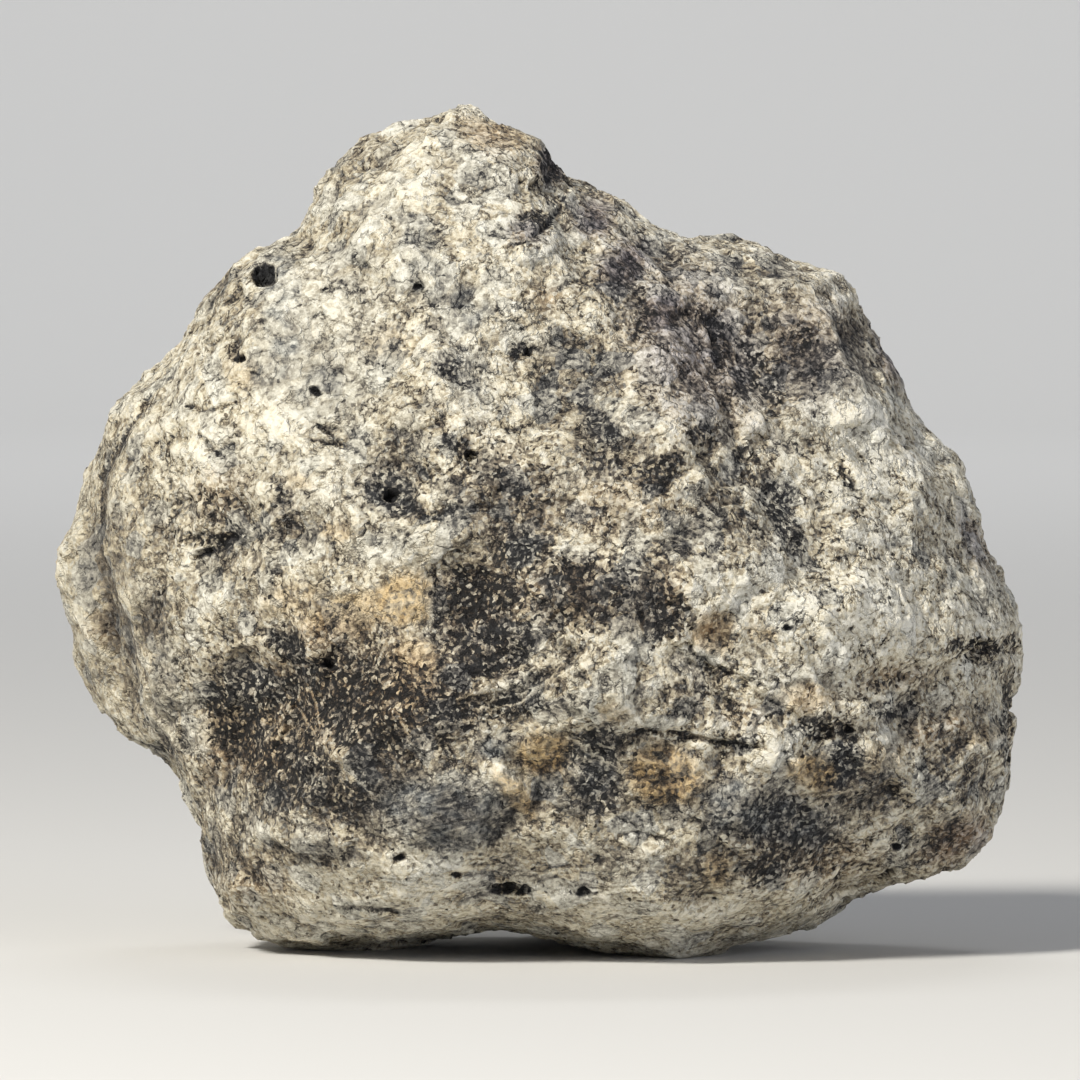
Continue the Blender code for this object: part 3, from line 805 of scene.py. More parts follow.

# %% [markdown]
# ## Painting where the clasts, stains, painted shade and painted light lie
#
# A eucrite breccia is a jumble of clasts: cream feldspar-rich ones, cool grey fine-grained ones, tan ones
# that iron has stained, and dark seams of crushed rock between them. Painted shade and light are brushed on
# with them: the marks for dark seams also lie in hollows and under ledges, broad painted shade darkens faces
# that turn down or away from the lamp, some pale marks are painted light, and the right of the peak gets a
# purplish painted shade. On the front each is brushed on as a few ovals with ragged rims. On the far side,
# which nobody has drawn, noise of the same scale lays out the same kinds of clasts. The result is one number
# per point for each kind, kept as an attribute of the mesh, and the rock material reads those numbers.

# %% The brush marks
# Each mark is across, up, half width, half height, turn in degrees, and strength.
# Dark seams of crushed rock, and painted shade: many of these marks sit in the pressed hollows and under the
# ledges, where shade falls.
DARK_SEAMS_AND_PAINTED_SHADE = (
    (-6.5, 36.5, 4.8, 4.2, 0, 1), (-5, 31, 5.4, 4, 10, 0.9), (-1.5, 40.5, 4.4, 2.6, 0, 0.7),
    (-3.6, 25, 4.8, 1.8, 10, 1), (-30.5, 26, 4.8, 4.2, 10, 1), (-31.5, 22.5, 3.4, 2.2, 0, 0.9),
    (-26.2, 31.2, 2.6, 2, -30, 0.8), (-20.5, 28.8, 3.4, 2.4, 0, 0.9), (-26, 19.5, 5.8, 2.2, -10, 0.8),
    (-24.5, 17.6, 3.2, 1.2, 0, 0.8), (-17, 22.5, 6, 4.2, 0, 0.65), (-23.5, 24.5, 3, 3, 0, 0.5),
    (-33.2, 41.6, 2.8, 1.1, 30, 1), (-35.8, 42.6, 2.6, 1.3, 0, 0.6), (-15, 47, 3.8, 2.4, -30, 0.8),
    (-11.5, 48.6, 2.2, 1.4, 0, 0.5), (-11.5, 44.5, 2.6, 0.8, -8, 0.9), (-8.8, 52.2, 2.2, 1.6, -30, 0.8),
    (12.6, 49.2, 3.6, 1.6, 40, 0.9), (16.6, 53, 1.7, 1.7, 0, 0.9), (12.8, 35, 3.4, 3.8, 0, 0.75),
    (2.5, 38.6, 4.2, 2.8, 15, 0.7), (8.5, 36.5, 3.2, 1.5, 0, 0.5), (5.8, 21, 3.4, 2.4, 0, 0.8),
    (6, 16, 2.6, 3.4, 0, 0.7), (28.8, 22.8, 3.4, 1.5, -8, 1), (31.4, 19.6, 1.9, 3, -20, 1),
    (23.7, 46.2, 1.3, 2.8, 15, 0.9), (25.6, 42.6, 1.3, 2.8, 15, 0.7), (31.6, 48.6, 0.9, 2.2, 25, 1),
    (21.2, 50.8, 1.4, 0.9, 0, 0.9), (18.2, 63, 1, 3.8, 8, 1), (22, 61, 1.1, 3.2, 32, 0.9),
    (23.8, 57.2, 1.3, 1.8, 30, 0.8), (21, 58.6, 2.6, 2, 0, 0.6), (1.8, 81.4, 2, 3.2, -20, 1),
    (-0.5, 75, 2.4, 1.7, 0, 0.8), (-2.2, 73, 2.4, 1.2, 0, 0.5), (43.8, 31.4, 2.6, 1, -5, 1),
    (47.5, 31.8, 2.6, 0.8, -8, 0.9), (22.8, 8.2, 2.8, 2.2, 0, 0.8), (19.6, 21.6, 2.6, 0.8, -5, 0.8),
    (-9.4, 59.6, 2, 0.8, -25, 0.8), (-7.4, 58.4, 1.4, 0.6, 20, 0.7), (-2, 61.6, 1.6, 0.8, 10, 0.8),
    (-33, 46, 3.6, 2.6, 0, 0.4), (-24, 46.8, 0.8, 0.5, 0, 0.7), (-27, 47.6, 1.6, 0.6, -20, 0.7),
    (27, 63.4, 1.6, 1.6, 0, 0.7), (6.2, 53.4, 1.6, 2.4, 20, 0.7), (4.4, 56.4, 1, 1.4, 40, 0.6),
    (10, 64, 0.7, 0.7, 0, 0.7), (14, 71, 1.4, 3, -35, 0.4), (48, 24, 0.9, 7, 0, 0.7),
    (36, 27.6, 2.8, 0.9, 15, 0.5), (30.6, 25.4, 1.4, 1.8, 0, 0.4), (-28.6, 36.4, 1.6, 1, 0, 0.4),
    (-20, 26, 11, 6, 0, 0.75), (-11, 25.5, 7, 4.5, 0, 0.75), (4, 37, 12, 4.5, 10, 0.35),
    (-4, 50, 8, 4, -20, 0.35), (6.5, 50.5, 4, 4, 0, 0.35), (-22.5, 16.5, 7, 3.2, 0, 0.65),
    (24.5, 12.4, 8.5, 4.2, -8, 0.5), (36, 24.6, 2.6, 1.2, 0, 0.8), (44.5, 30.6, 3.4, 1.8, -10, 0.7),
)
COOL_GREY_CLASTS = (
    (-26.5, 66, 2.8, 8.5, 4, 1), (-28, 59, 2.8, 3.6, 0, 0.9), (-22.8, 57.5, 3.8, 4.8, -20, 0.8),
    (-18.8, 53.2, 2.8, 1.6, -35, 0.8), (-15.5, 76, 3.6, 1.2, -15, 0.8), (-12.5, 71, 3.2, 6.2, 10, 0.8),
    (-7.5, 66, 3.2, 3.4, 0, 0.9), (-7.2, 58.6, 2.8, 5.4, 10, 0.8), (-17.5, 70.8, 2.6, 1.2, -40, 0.6),
    (19, 68.8, 2.2, 2.8, 0, 0.9), (30, 59.5, 5, 3.8, 0, 0.6), (-10, 14.2, 8.8, 4.8, 0, 1),
    (24, 13.4, 8.8, 3.2, -4, 1), (19.5, 15.4, 3.6, 2.4, 30, 1), (-5, 20.6, 2.4, 1.5, 0, 1),
    (36.2, 24.6, 3.2, 1.4, 0, 0.8), (36.2, 42.8, 2.4, 1.8, 0, 0.8), (6.6, 54.2, 2.8, 3.4, 20, 0.8),
    (15.2, 43.2, 2.4, 2.2, -30, 0.8), (-26.4, 31.8, 2.4, 1.6, -30, 0.7), (-15.6, 47, 3.6, 3, -30, 0.8),
    (5.8, 18, 3.4, 5, 0, 0.8), (31.8, 19.2, 1.8, 3, -25, 0.9), (24.6, 45.4, 1.8, 4.4, 15, 0.8),
    (-38.6, 27, 1.6, 7, 0, 0.7), (-20.8, 23.6, 2.4, 3.2, 20, 0.6), (36.6, 9, 1.3, 1.8, 0, 0.7),
    (-16, 41.6, 5.2, 2.2, 12, 0.7), (-2, 27, 3.4, 2, 20, 0.6), (35.4, 38.4, 3, 2, 0, 0.4),
    (46, 36, 2.4, 3.4, 20, 0.5), (-31.5, 41.5, 2.6, 1.2, 25, 0.5), (-6.4, 31, 3.6, 3, 0, 0.5),
    (-22, 62, 8, 11, 0, 0.6), (-22, 48, 10, 5, 0, 0.3),
)
IRON_STAINED_CLASTS = (
    (-14.2, 36.2, 3.6, 3, 15, 1), (-20, 34.6, 4.8, 2.6, 15, 0.7), (-25.5, 36, 3.6, 2.2, 10, 0.4),
    (-13, 28.6, 2.8, 4.2, 0, 0.6), (0.4, 20.2, 3, 2.6, 0, 1), (-2.6, 15.8, 3.6, 1.2, -48, 0.9),
    (12.8, 18, 4.2, 3.4, -5, 1), (28.2, 18.4, 3.2, 1.9, -5, 0.9), (18, 8.2, 1.8, 2, 0, 0.6),
    (17.8, 32.8, 2.6, 2.2, 0, 0.6), (22.6, 32.6, 2, 1, 0, 0.5), (7.4, 24.2, 1.5, 1.2, 0, 0.5),
    (46, 22.2, 2.2, 1.1, 20, 0.5), (-21, 43, 1.8, 1, 0, 0.5), (-24.4, 48, 1.5, 0.8, -20, 0.5),
    (-15.6, 62.4, 3.4, 1.6, -10, 0.25), (35, 19.6, 2.4, 1.6, 0, 0.4), (-30, 22, 6, 3, -10, 0.4),
    (27, 26, 3.6, 1.6, 0, 0.4), (-5, 84, 4, 1.6, -15, 0.35), (-31, 59.4, 2.4, 2, 0, 0.3),
)
BROWN_STAINS = (
    (-22, 32, 8, 3.6, 10, 0.6), (-30, 20, 7, 3.6, 0, 0.7), (-5, 83.6, 4.6, 2.2, -15, 0.6),
    (0.5, 67, 2, 2.6, -30, 0.6), (17.5, 33, 2.6, 2.4, 0, 0.8), (40.5, 22.5, 5.4, 2.2, 20, 0.8),
    (36, 28, 4.4, 2, 10, 0.6), (42.5, 11.4, 5.4, 2.8, 25, 0.9), (-33, 47, 4.4, 4, 0, 0.4),
    (3, 36.6, 8, 4.6, 0, 0.7), (-6, 34, 6, 8, 0, 0.7), (-17, 24, 7, 5, 0, 0.5),
    (-29.6, 7, 4.8, 3.4, 0, 0.5), (28, 9.4, 9, 3.4, -5, 0.6), (12, 36, 4.4, 4.4, 0, 0.7),
    (1.8, 81, 2.2, 3.4, -20, 0.6), (21, 24, 4, 2, 0, 0.4), (8, 46, 9, 5, 0, 0.35), (-4, 48, 6, 5, 0, 0.35),
    (-45, 33, 2.8, 2.6, 0, 0.4), (27.6, 25.8, 3.4, 2.2, 0, 0.5), (-13, 28.6, 3, 4.4, 0, 0.5),
    (-33.4, 17.6, 3.4, 1.6, 0, 0.5), (0, 44.6, 4, 3, 0, 0.4), (-20, 26, 16, 8, 0, 0.8),
)
# Painted shade, tinted purple as a painted reflection, on the strip right of the peak and on faces turned
# from the lamp.
PAINTED_PURPLE_SHADES = (
    (5.6, 75.2, 3.2, 3.4, -35, 0.9), (8.6, 70.4, 3.4, 4.2, -35, 1), (12.6, 65.6, 3.4, 4.4, -40, 1),
    (15.6, 60.4, 3.2, 4.2, -35, 0.8), (1.6, 81.2, 2.4, 3.4, -20, 1), (36.4, 61, 2, 6.4, 25, 0.9),
    (43, 11.4, 5, 2.6, 25, 0.6), (44.4, 42, 1.6, 5, 20, 0.6), (20, 60.6, 3.6, 4, 20, 0.6),
    (-1.4, 74, 2.6, 2, 0, 0.6), (14.4, 56, 4, 2.6, 0, 0.4), (16, 62, 9, 13, 35, 0.7),
    (27, 62, 8, 8, 0, 0.5),
)
# Pale feldspar clasts, and painted light: the large marks on the right side and some small bright spots are
# painted light and painted highlights.
PALE_CLASTS_AND_PAINTED_LIGHT = (
    (-13, 78.6, 2.8, 3, 0, 1), (-18.2, 79, 3, 2.4, 10, 0.8), (-17, 73.6, 2.6, 1.6, 0, 0.7),
    (-22.4, 71.8, 2.2, 2, 0, 0.6), (-2.6, 67.2, 1.9, 2.5, 0, 0.8), (-34, 63, 3.6, 6.4, 30, 0.7),
    (-15.5, 60.5, 4.2, 5.2, 0, 0.5), (-22, 46.5, 5.2, 3.2, 0, 0.6), (-33.8, 36.6, 2.5, 3.1, 0, 0.9),
    (-18, 40.6, 5.4, 1.5, 10, 0.9), (-25.6, 34, 2, 1.2, 0, 0.9), (23, 68, 1.7, 1.8, 0, 0.7),
    (28.6, 68.6, 1.5, 1.2, 0, 0.9), (31.4, 66.8, 1.4, 1.2, -20, 1), (37.5, 50.5, 4.4, 4.2, 0, 0.8),
    (33, 42, 2.5, 2.1, 0, 1), (21.4, 47, 2.1, 1.7, 0, 0.8), (29, 34.5, 10.5, 4.6, 0, 0.6),
    (14.2, 25.8, 4.6, 2.9, 10, 0.6), (5.4, 27.6, 3.6, 3.1, 20, 0.6), (8, 41.4, 5, 2, 35, 0.6),
    (41.5, 17.8, 4.8, 1.1, 25, 0.8), (43.4, 27, 3.4, 1.8, 20, 0.7), (35.6, 19.2, 1.9, 1.5, 0, 0.7),
    (-28.8, 12, 1.3, 0.9, 0, 1), (-24, 11.8, 1.3, 0.9, 0, 1), (-47.5, 46.5, 2.6, 5.4, -20, 0.9),
    (4, 32.2, 4.8, 1.6, 35, 0.6), (12.4, 53.4, 2.2, 2.3, 0, 0.6), (22.4, 53.6, 2.6, 1.2, 10, 0.6),
    (-8, 83, 5, 3.6, 0, 0.4), (-20, 7, 8, 2.6, 0, 0.3), (0, 7, 6, 3, 0, 0.25),
    (-24, 41.5, 3.4, 1.6, 0, 0.4), (-38, 56, 2.4, 5, 25, 0.5), (-48, 36, 2.2, 7, 0, 0.5),
    (18, 72.6, 6, 1, -12, 0.7), (30.4, 69.4, 2.6, 0.8, -25, 0.8), (35, 34, 3, 3, 0, 0.4),
    (34, 52, 7, 6, 0, 2), (34, 35, 9, 5.5, 0, 1.5), (24, 35, 12, 6, 0, 0.7), (-22, 61, 7, 8, 0, 0.5),
    (-31, 53, 9, 6, 0, 1.4), (-13, 7.6, 7, 3, 0, 0.9), (-4.5, 61.5, 4, 4, 0, 0.8),
)

# Whole parts of the front painted darker: partly rock with more dark pyroxene, partly painted shade where
# faces turn down or away from the lamp.
BROAD_PYROXENE_AND_PAINTED_SHADES = (
    (-16, 22, 24, 13, 0, 0.45), (5, 18, 10, 9, 0, 0.85), (24, 13, 15, 7, 0, 0.6), (42, 18, 8, 10, 0, 0.55),
    (-4, 36, 10, 10, 0, 0.65), (7, 36, 10, 6, 0, 1.1), (-4, 45.5, 9, 6, 0, 0.95), (12, 49, 7, 5, 0, 0.45),
    (12, 66, 13, 9, -35, 0.4), (28, 62, 11, 7, 0, 0.75), (-31, 43.5, 7, 4.5, 0, 0.45),
    (0, 7, 28, 6, 0, 0.2), (-15, 47, 6, 4, 0, 0.35), (-43, 30, 8, 8, 0, 0.25), (14, 45, 16, 8, -30, 0.35),
    (40, 9, 9, 5, 25, 0.6), (-26, 28, 20, 17, 0, 0.42), (-46, 40, 10, 22, 0, 0.5),
    (-40, 22, 7, 12, 0, 0.55), (-22, 17.5, 18, 7.5, 0, 1.25), (-33, 9, 9, 7, 0, 0.65),
    (4, 28, 8, 7, 0, 0.75), (0, 84, 6, 6, -30, 0.8), (-31, 77, 8, 7, 30, 0.8), (6, 79, 7, 6, -35, 0.6),
    (-13, 52, 6, 5, 0, 0.7), (6, 52, 6, 5, 0, 0.75), (20, 47.5, 9, 8, 0, 0.6), (-41, 34, 5, 7, 0, 0.7),
    (-9, 26, 9, 6, 0, 0.75), (14, 26, 8, 4.5, 0, 0.8), (13, 17, 8, 5, 0, 0.9), (7, 9, 8, 4, 0, 0.5),
    (-22, 11, 11, 4, 0, 0.8), (33, 17, 7, 5, 0, 1.1), (-20, 81, 6, 4, 30, 0.6), (-33, 69, 4, 6, 20, 0.8),
    (20, 8.6, 14, 4.5, 0, 0.8), (-27, 44, 10, 5, 0, 0.55), (-35, 68, 8, 16, 30, 0.5),
    (4, 60, 6, 9, -30, 0.7), (24, 70, 12, 5, -20, 0.5), (-10, 13.8, 10, 5.5, 0, 0.95),
)

# Dusty places, where the grains hardly show, and rugged ones, where they show more than elsewhere.
DUSTY_PLACES = (
    (-45, 36, 8, 20, 0, 1), (-24, 60, 7, 9, 0, 0.8), (-16, 73, 9, 8, 0, 0.6), (-13, 41.5, 8, 3, 10, 0.5),
    (-28, 50, 9, 6, 0, 0.45), (-10, 13.6, 8, 4.5, 0, 0.7),
)
RUGGED_PLACES = (
    (32, 38, 17, 16, 0, 0.7), (10, 67, 18, 8, -57, 0.5), (20, 26, 16, 8, 0, 0.5), (-20, 27, 16, 9, 0, 0.3),
)


# %% Brush them on
def far_side(scale, shift, least, slope):
    """Blotches for the side that isn't drawn: noise above a level, which rises at a slope."""
    return ease((rough(scale, 3, shift) - least) * slope)


def keep(name, values):
    """Keep a number or a vector per point as an attribute that a material can read."""
    kind, field = ("FLOAT", "value") if values.ndim == 1 else ("FLOAT_VECTOR", "vector")
    kept = skin_data.attributes.new(name, kind, "POINT")
    kept.data.foreach_set(field, values.astype(np.float32).ravel())


# Each kind: its marks, their soft rim, and its blotches on the far side, which are an amount and the
# scale, shift, least and slope of the noise.
# The shade kind is broad painted shade together with darker pyroxene.
KINDS = (
    ("shade", BROAD_PYROXENE_AND_PAINTED_SHADES, 1.0, (0.5, 24.0, 73.0, 0.0, 2.0)),
    ("dark seam and painted shade", DARK_SEAMS_AND_PAINTED_SHADE, 0.6, (0.8, 13.0, 41.0, 0.2, 3.0)),
    ("cool grey", COOL_GREY_CLASTS, 0.55, (0.9, 9.0, 47.0, 0.05, 5.0)),
    ("iron stained", IRON_STAINED_CLASTS, 0.4, (0.8, 8.0, 53.0, 0.22, 6.0)),
    ("brown stain", BROWN_STAINS, 0.9, (0.8, 12.0, 59.0, 0.08, 3.0)),
    ("painted purple shade", PAINTED_PURPLE_SHADES, 0.9, (0.7, 14.0, 61.0, 0.2, 4.0)),
    ("pale", PALE_CLASTS_AND_PAINTED_LIGHT, 0.55, (0.8, 6.0, 67.0, 0.1, 5.0)),
)
# A hollow this deep, in millimetres, is as dark as a fine or a broad one gets.
FINE_HOLLOW = 0.10
BROAD_HOLLOW = 0.8

marked_view = ragged_view(0.9, 2.4)
looks_front = facing()
looks_away = 1.0 - looks_front
smooth = smooth_field()
keep("smooth", smooth)
along_streaks, streaked = streak_places()
keep("streak place", along_streaks / (STREAK_LENGTH, STREAK_WIDTH, 1.0))
keep("streaked", streaked)
keep("patch", np.clip(rough(6.0, 4, 71.0) * 2.0, -1.0, 1.0))
for name, marks, rim, (amount, *blotches) in KINDS:
    keep(name, brushed(marked_view, marks, rim) * looks_front + amount * far_side(*blotches) * looks_away)
dusty = brushed(marked_view, DUSTY_PLACES, 0.9) - brushed(marked_view, RUGGED_PLACES, 0.9)
keep("dusty", dusty * looks_front)
fine_view = ragged_view(0.6, 2.0)
keep("crack", near_routes(fine_view, CRACKS, 1.4) * crack_fades() * looks_front)
keep("crack side", side_of_routes(fine_view, CRACKS))
keep("vein", near_routes(fine_view, VEINS, 1.2) * looks_front)
keep("vein side", side_of_routes(fine_view, VEINS))
# Painted shade in the pits: each pit's oval is darkened in the material.
painted_pit_shade_marks = [pit[:5] + (1.0,) for pit in PITS]
keep("pit", brushed(ragged_view(0.25, 1.2), painted_pit_shade_marks, 0.6, 1.0) * looks_front)
# Painted shade and painted light: the deeper a point lies under the relaxed skin the darker it is painted,
# and standing above it paints it lighter.
fine_hollow = np.clip(fine_depth / FINE_HOLLOW, -1.0, 1.0)
broad_hollow = np.clip(broad_depth / BROAD_HOLLOW, -1.0, 1.0)
keep("hollow", fine_hollow * 0.5 + broad_hollow * 0.5)
print("kept", len(skin_data.attributes), "attributes")

# %% [markdown]
# ## The rock material
#
# Basalt is a dull mineral: an IOR of about 1.5, no metal, and a roughness near 0.95 that drops to 0.65 on
# grain faces that glint a little. Almost all of its look is pattern. From coarse to fine, the stone has
#
# - clumps of grains 2.3 mm across, each a little lighter or darker than the next, without edges,
# - chips 2.6 mm across with crisp edges, which slant every way and are creamy or grey,
# - ragged hairline cracks, mostly where the rock is dark,
# - specks of 0.6 mm and grains of 0.4 mm, of which some are dark pyroxene.
#
# Each becomes one texture with its scale worked out from that size. The finest grains of the real rock,
# of about 0.1 mm, are left out: they couldn't be told from noise at this distance.

# %% A function that adds a node
rock = bpy.data.materials.new("eucrite basalt, broken")
rock.use_nodes = True
shader = rock.node_tree.nodes["Principled BSDF"]


def put(kind, inputs=None, stops=None, **settings):
    """Add a node of a kind. Inputs are values, or other nodes' outputs to link; stops colour a ramp."""
    added = rock.node_tree.nodes.new("ShaderNode" + kind)
    for name, value in settings.items():
        setattr(added, name, value)
    for name, value in (inputs or {}).items():
        if isinstance(value, bpy.types.NodeSocket):
            rock.node_tree.links.new(value, added.inputs[name])
        else:
            added.inputs[name].default_value = value
    for index, (position, colour) in enumerate(stops or ()):
        if index > 1:
            added.color_ramp.elements.new(position)
        added.color_ramp.elements[index].position = position
        added.color_ramp.elements[index].color = linear(colour)
    return added


# In a colour mix these are the numbers of the factor, the two colours and the result.
FACTOR, FIRST, SECOND, RESULT = 0, 6, 7, 2


def attribute(name):
    """The numbers that were kept for every point under a name."""
    return put("Attribute", attribute_name=name).outputs["Fac"]


def times(one, other):
    """One output times another."""
    return put("Math", {0: one, 1: other}, operation="MULTIPLY").outputs[0]


def total(*parts, base=0.0):
    """A base plus (output, weight, middle) parts: each adds weight times how far it is above its middle."""
    so_far = None
    for output, weight, middle in parts:
        start = base - weight * middle if so_far is None else -weight * middle
        offset = put("Math", {0: output, 1: weight, 2: start}, operation="MULTIPLY_ADD").outputs[0]
        so_far = offset if so_far is None else put("Math", {0: so_far, 1: offset}).outputs[0]
    return so_far


def mapped(output, start, end, at_start=0.0, at_end=1.0):
    """Turn the range from start to end to the range from at_start to at_end."""
    return put("MapRange", {0: output, 1: start, 2: end, 3: at_start, 4: at_end}).outputs[0]


print("the material is called", rock.name)

# %% Clumps and specks
CLUMP = 2.3
SPECKLE = 0.62

where = put("TexCoord").outputs["Object"]
in_mm = put("VectorMath", {0: where, "Scale": 1.0 / MM}, operation="SCALE").outputs[0]


def cloudy(vector, size, detail, roughness):
    """Noise from 0 to 1 with lumps about size across."""
    inputs = {"Vector": vector, "Scale": 1.0 / size, "Detail": detail, "Roughness": roughness}
    return put("TexNoise", inputs).outputs[0]


clump = cloudy(in_mm, CLUMP, 1.0, 0.8)
speckle = cloudy(in_mm, SPECKLE, 2.0, 0.8)
print("clumps of", CLUMP, "mm and specks of", SPECKLE, "mm")

# %% [markdown]
# ## Chips and grains
#
# A Voronoi texture splits space into cells and gives each a random colour. The colour has three random
# numbers: here they say how light the cell is, which mineral it is, and how its face slants. The height
# of a slanting face is the dot product of that random vector with the way from the cell's middle. The
# cells are bent a little by the clumps, or their edges would be straight.

# %% Cells with slanting faces
CHIP = 2.6
GRAIN = 0.37
BEND = (1.1, -0.9, 1.0)

push_by_clump = put("VectorMath", {0: BEND, "Scale": clump}, operation="SCALE").outputs[0]
bent = put("VectorMath", {0: in_mm, 1: push_by_clump}, operation="ADD").outputs[0]


def slanting_cells(size):
    """Cells about size millimetres across: how light each is, its kind, and the height of its face."""
    cells = put("TexVoronoi", {"Vector": bent, "Scale": 1.0 / size})
    beside = put("VectorMath", {0: bent, 1: cells.outputs["Position"]}, operation="SUBTRACT").outputs[0]
    random_colour = cells.outputs["Color"]
    slant = put("VectorMath", {0: random_colour, 1: (0.5, 0.5, 0.5)}, operation="SUBTRACT").outputs[0]
    height = put("VectorMath", {0: beside, 1: slant}, operation="DOT_PRODUCT").outputs["Value"]
    random = put("SeparateColor", {0: random_colour})
    return random.outputs[0], random.outputs[1], height


chip_light, chip_kind, chip_height = slanting_cells(CHIP)
grain_light, grain_kind, _ = slanting_cells(GRAIN)
print("chips of", CHIP, "mm and grains of", GRAIN, "mm")

# %% [markdown]
# ## Hairline cracks and thin seams
#
# The contour lines of noise wander and branch like cracks do, so the distance from the noise's middle
# level serves as the distance from a crack. The cracks and veins that were drawn use the side that was
# kept for each point: it runs smoothly through 0 across the line, so the line stays crisp, far thinner
# than a triangle. Specks push both about and make them ragged.

# %% Draw thin lines
CRACK_SPACE = 2.6
FINE_CRACK_SPACE = 1.0


def contour(space, detail, roughness):
    """How far a noise is from its middle level: 0 along ragged lines about space millimetres apart."""
    noise = cloudy(in_mm, space, detail, roughness)
    away = put("Math", {0: noise, 1: 0.5}, operation="SUBTRACT").outputs[0]
    return put("Math", {0: away}, operation="ABSOLUTE").outputs[0]


def drawn_line(name, width, wander):
    """1 along the routes whose place was kept under a name, 0 from width millimetres away."""
    side = total((attribute(name + " side"), 1.0, 0.0), (speckle, wander, 0.5))
    off_line = put("Math", {0: side}, operation="ABSOLUTE").outputs[0]
    return times(mapped(off_line, 0.3 * width, width, 1.0, 0.0), attribute(name))


from_crack = contour(CRACK_SPACE, 4.0, 0.55)
from_fine_crack = contour(FINE_CRACK_SPACE, 2.0, 0.6)
cracked_here = mapped(clump, 0.42, 0.62, 1.0, 0.1)
crack = times(mapped(from_crack, 0.0, 0.022, 1.0, 0.0), cracked_here)
fine_crack = times(mapped(from_fine_crack, 0.0, 0.035, 1.0, 0.0), cracked_here)
drawn_crack = drawn_line("crack", 0.36, 1.8)
drawn_vein = drawn_line("vein", 0.26, 1.0)
print("cracks are", CRACK_SPACE, "and", FINE_CRACK_SPACE, "mm apart")

# %% [markdown]
# ## How light the rock is
#
# Everything that makes the rock lighter or darker is added up to one number, `lightness`. First comes
# the broad tone, from the brush marks, which holds painted shade and painted light as well as the clasts.
# `SMOOTH_MAX` keeps it from going all black where marks overlap.
# Then come the patterns, and veins, which stay light where the rock is dark. In crushed dark seams the
# grains stand out strongly and many of them are dark pyroxene, like pepper. Where the rock is smooth the
# coarse patterns fade, and where it is dusty all of them do.

# %% Add up the tone and the patterns
DARKEST_TONE = 0.22

seam_and_painted_shade = attribute("dark seam and painted shade")
smooth_rock = attribute("smooth")
iron_stained = attribute("iron stained")
brown_stain = attribute("brown stain")
# Dark seams and painted shade, with a crisp ragged edge that darkens them further.
seam_and_shade_edge = total((seam_and_painted_shade, 1.0, 0.0), (clump, 0.6, 0.5), (speckle, 0.7, 0.5))
crisp_seam_and_shade = mapped(seam_and_shade_edge, 0.34, 0.62)

dusty = attribute("dusty")
strength = total(
    (seam_and_painted_shade, 1.05, 0.0), (smooth_rock, 0.1, 0.0), (iron_stained, 0.2, 0.0), (dusty, -0.5, 0.0),
    base=0.9975)
calm = total(
    (seam_and_painted_shade, -0.3, 0.0), (smooth_rock, -0.65, 0.0), (iron_stained, -0.5, 0.0), (dusty, -0.4, 0.0),
    base=0.999)
pepper_share = total(
    (seam_and_painted_shade, 0.30, 0.0), (iron_stained, -0.02, 0.0), (brown_stain, 0.12, 0.0), (grain_kind, -1.0, 0.0))
pepper = mapped(pepper_share, -0.10, -0.02)
fine_pattern = total((speckle, 0.84, 0.5), (grain_light, 0.30, 0.5), (pepper, -0.27, 0.1))
coarse_pattern = total(
    (clump, 0.50, 0.5), (chip_light, 0.09, 0.5), (crack, -0.42, 0.1), (fine_crack, -0.15, 0.1))

along_streaks = put("Attribute", attribute_name="streak place").outputs["Vector"]
streak = times(total((cloudy(along_streaks, 1.0, 1.0, 0.7), 1.0, 0.5)), attribute("streaked"))

# The tone holds painted shade: broad shade, dark seams in hollows and under ledges, the skin's hollows and
# the purplish painted shade darken it, while pale marks and edges paint light.
tone = total(
    (attribute("patch"), 0.11, 0.0), (attribute("pale"), 0.11, 0.0), (seam_and_painted_shade, -0.18, 0.0),
    (crisp_seam_and_shade, -0.22, 0.0), (attribute("shade"), -0.42, 0.0), (attribute("hollow"), -0.20, 0.0),
    (attribute("painted purple shade"), -0.16, 0.0), (brown_stain, -0.06, 0.0), (attribute("cool grey"), -0.05, 0.0),
    base=0.6204)
tone = put("Math", {0: tone, 1: DARKEST_TONE, 2: 0.10}, operation="SMOOTH_MAX").outputs[0]
# Pits are painted near black: painted shade inside the holes.
lightness = total(
    (tone, 1.0, 0.0), (times(fine_pattern, strength), 1.0, 0.0), (times(coarse_pattern, calm), 1.0, 0.0),
    (streak, 1.0, 0.0), (drawn_crack, -0.36, 0.0), (drawn_vein, 0.10, 0.0), (attribute("pit"), -1.4, 0.0))
vein_light = times(drawn_vein, total((speckle, 1.0, 0.0), base=0.1))
lightness = put("Math", {0: lightness, 1: vein_light}, operation="MAXIMUM").outputs[0]
print("the material has", len(rock.node_tree.nodes), "nodes so far")

# %% [markdown]
# ## Colours
#
# Two ramps turn the lightness to a colour: the warm cream of feldspar, and the cool grey of fine-grained
# rock. Single grains and chips are grey too, which is what makes the cream look dusty. Thin tints on top
# stand for iron stains, brown dirt and a purplish painted shade, with a cool painted reflection, on the
# right of the peak.

# %% The colours
STOPS = (0.0, 0.2, 0.4, 0.58, 0.76, 1.0)
FELDSPAR = ("#100E0C", "#38312A", "#756B5B", "#ABA088", "#CEC6B0", "#E2DCCA")
FINE_GREY = ("#101216", "#323538", "#6A6B69", "#97968F", "#B9B8AE", "#E0DED4")

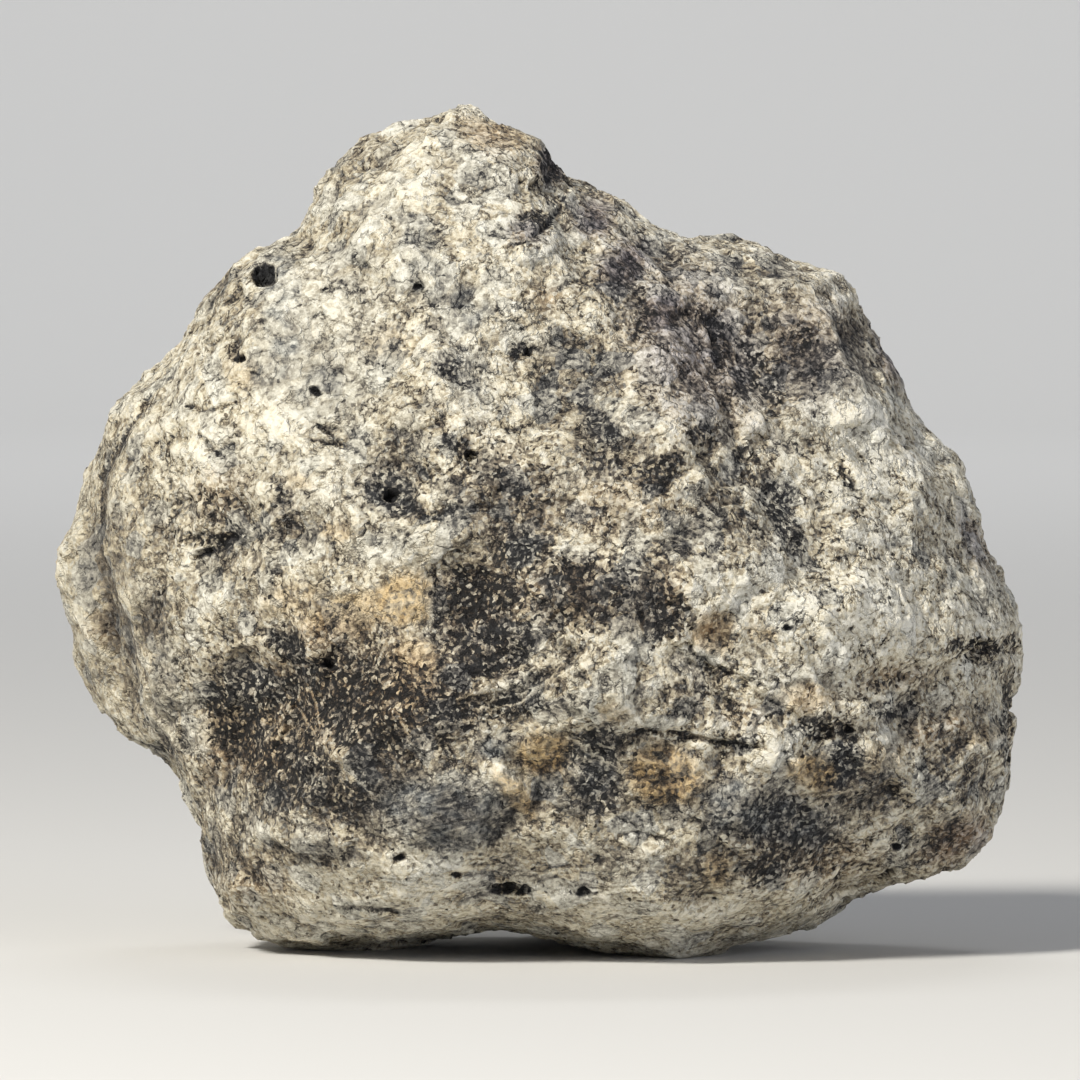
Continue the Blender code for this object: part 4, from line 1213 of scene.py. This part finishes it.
feldspar = put("ValToRGB", {0: lightness}, zip(STOPS, FELDSPAR)).outputs[0]
fine_grey = put("ValToRGB", {0: lightness}, zip(STOPS, FINE_GREY)).outputs[0]
grey_grain = mapped(grain_kind, 0.60, 1.0, 0.0, 0.7)
grey_chip = mapped(chip_kind, 0.55, 0.9, 0.0, 0.7)
grey_clast = times(attribute("cool grey"), mapped(clump, 0.35, 0.6, 1.0, 0.55))
cool = put("Math", {0: grey_grain, 1: grey_chip}, operation="MAXIMUM").outputs[0]
cool = put("Math", {0: cool, 1: grey_clast}, operation="MAXIMUM").outputs[0]
colour = put("Mix", {FACTOR: cool, FIRST: feldspar, SECOND: fine_grey}, data_type="RGBA").outputs[RESULT]


def tinted(colour, amount, tint):
    """Multiply a colour by a tint, by an amount from 0 to 1."""
    inputs = {FACTOR: amount, FIRST: colour, SECOND: linear(tint)}
    return put("Mix", inputs, data_type="RGBA", blend_type="MULTIPLY").outputs[RESULT]


colour = tinted(colour, times(brown_stain, mapped(grain_light, 0.2, 0.8, 1.0, 0.3)), "#C9AB88")
colour = tinted(colour, times(iron_stained, mapped(grain_light, 0.1, 0.9, 0.5, 0.9)), "#EED3A6")
# Painted shade with a purple painted reflection.
colour = tinted(colour, attribute("painted purple shade"), "#C9C4D6")
rock.node_tree.links.new(colour, shader.inputs["Base Color"])

# %% The finish
# The relief is too fine for the mesh, so a Bump node fakes it: a height of 1 counts as a quarter of a
# millimetre.
BUMP_HEIGHT = 0.25

roughness = mapped(grain_light, 0.0, 1.0, 0.95, 0.65)
rock.node_tree.links.new(roughness, shader.inputs["Roughness"])
shader.inputs["IOR"].default_value = 1.5
shader.inputs["Metallic"].default_value = 0.0
off_crack = mapped(from_crack, 0.0, 0.05)
relief = total((clump, 1.0, 0.0), (speckle, 1.1, 0.0), (chip_height, 3.0, 0.0), (off_crack, 1.0, 0.0))
bump = put("Bump", {"Height": relief, "Distance": BUMP_HEIGHT * MM, "Strength": 0.9})
rock.node_tree.links.new(bump.outputs[0], shader.inputs["Normal"])
print("the material has", len(rock.node_tree.nodes), "nodes")

# %% [markdown]
# ## Hand the stone over
#
# The skin stands for the plain solid, which stays as what collides. It rides on the only body there is.

# %% Put the skin in place of the solid
skin = add_object("stone_skin", skin_data)
skin_data.materials.clear()
skin_data.materials.append(rock)
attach(skin, "root")
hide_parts("stone")
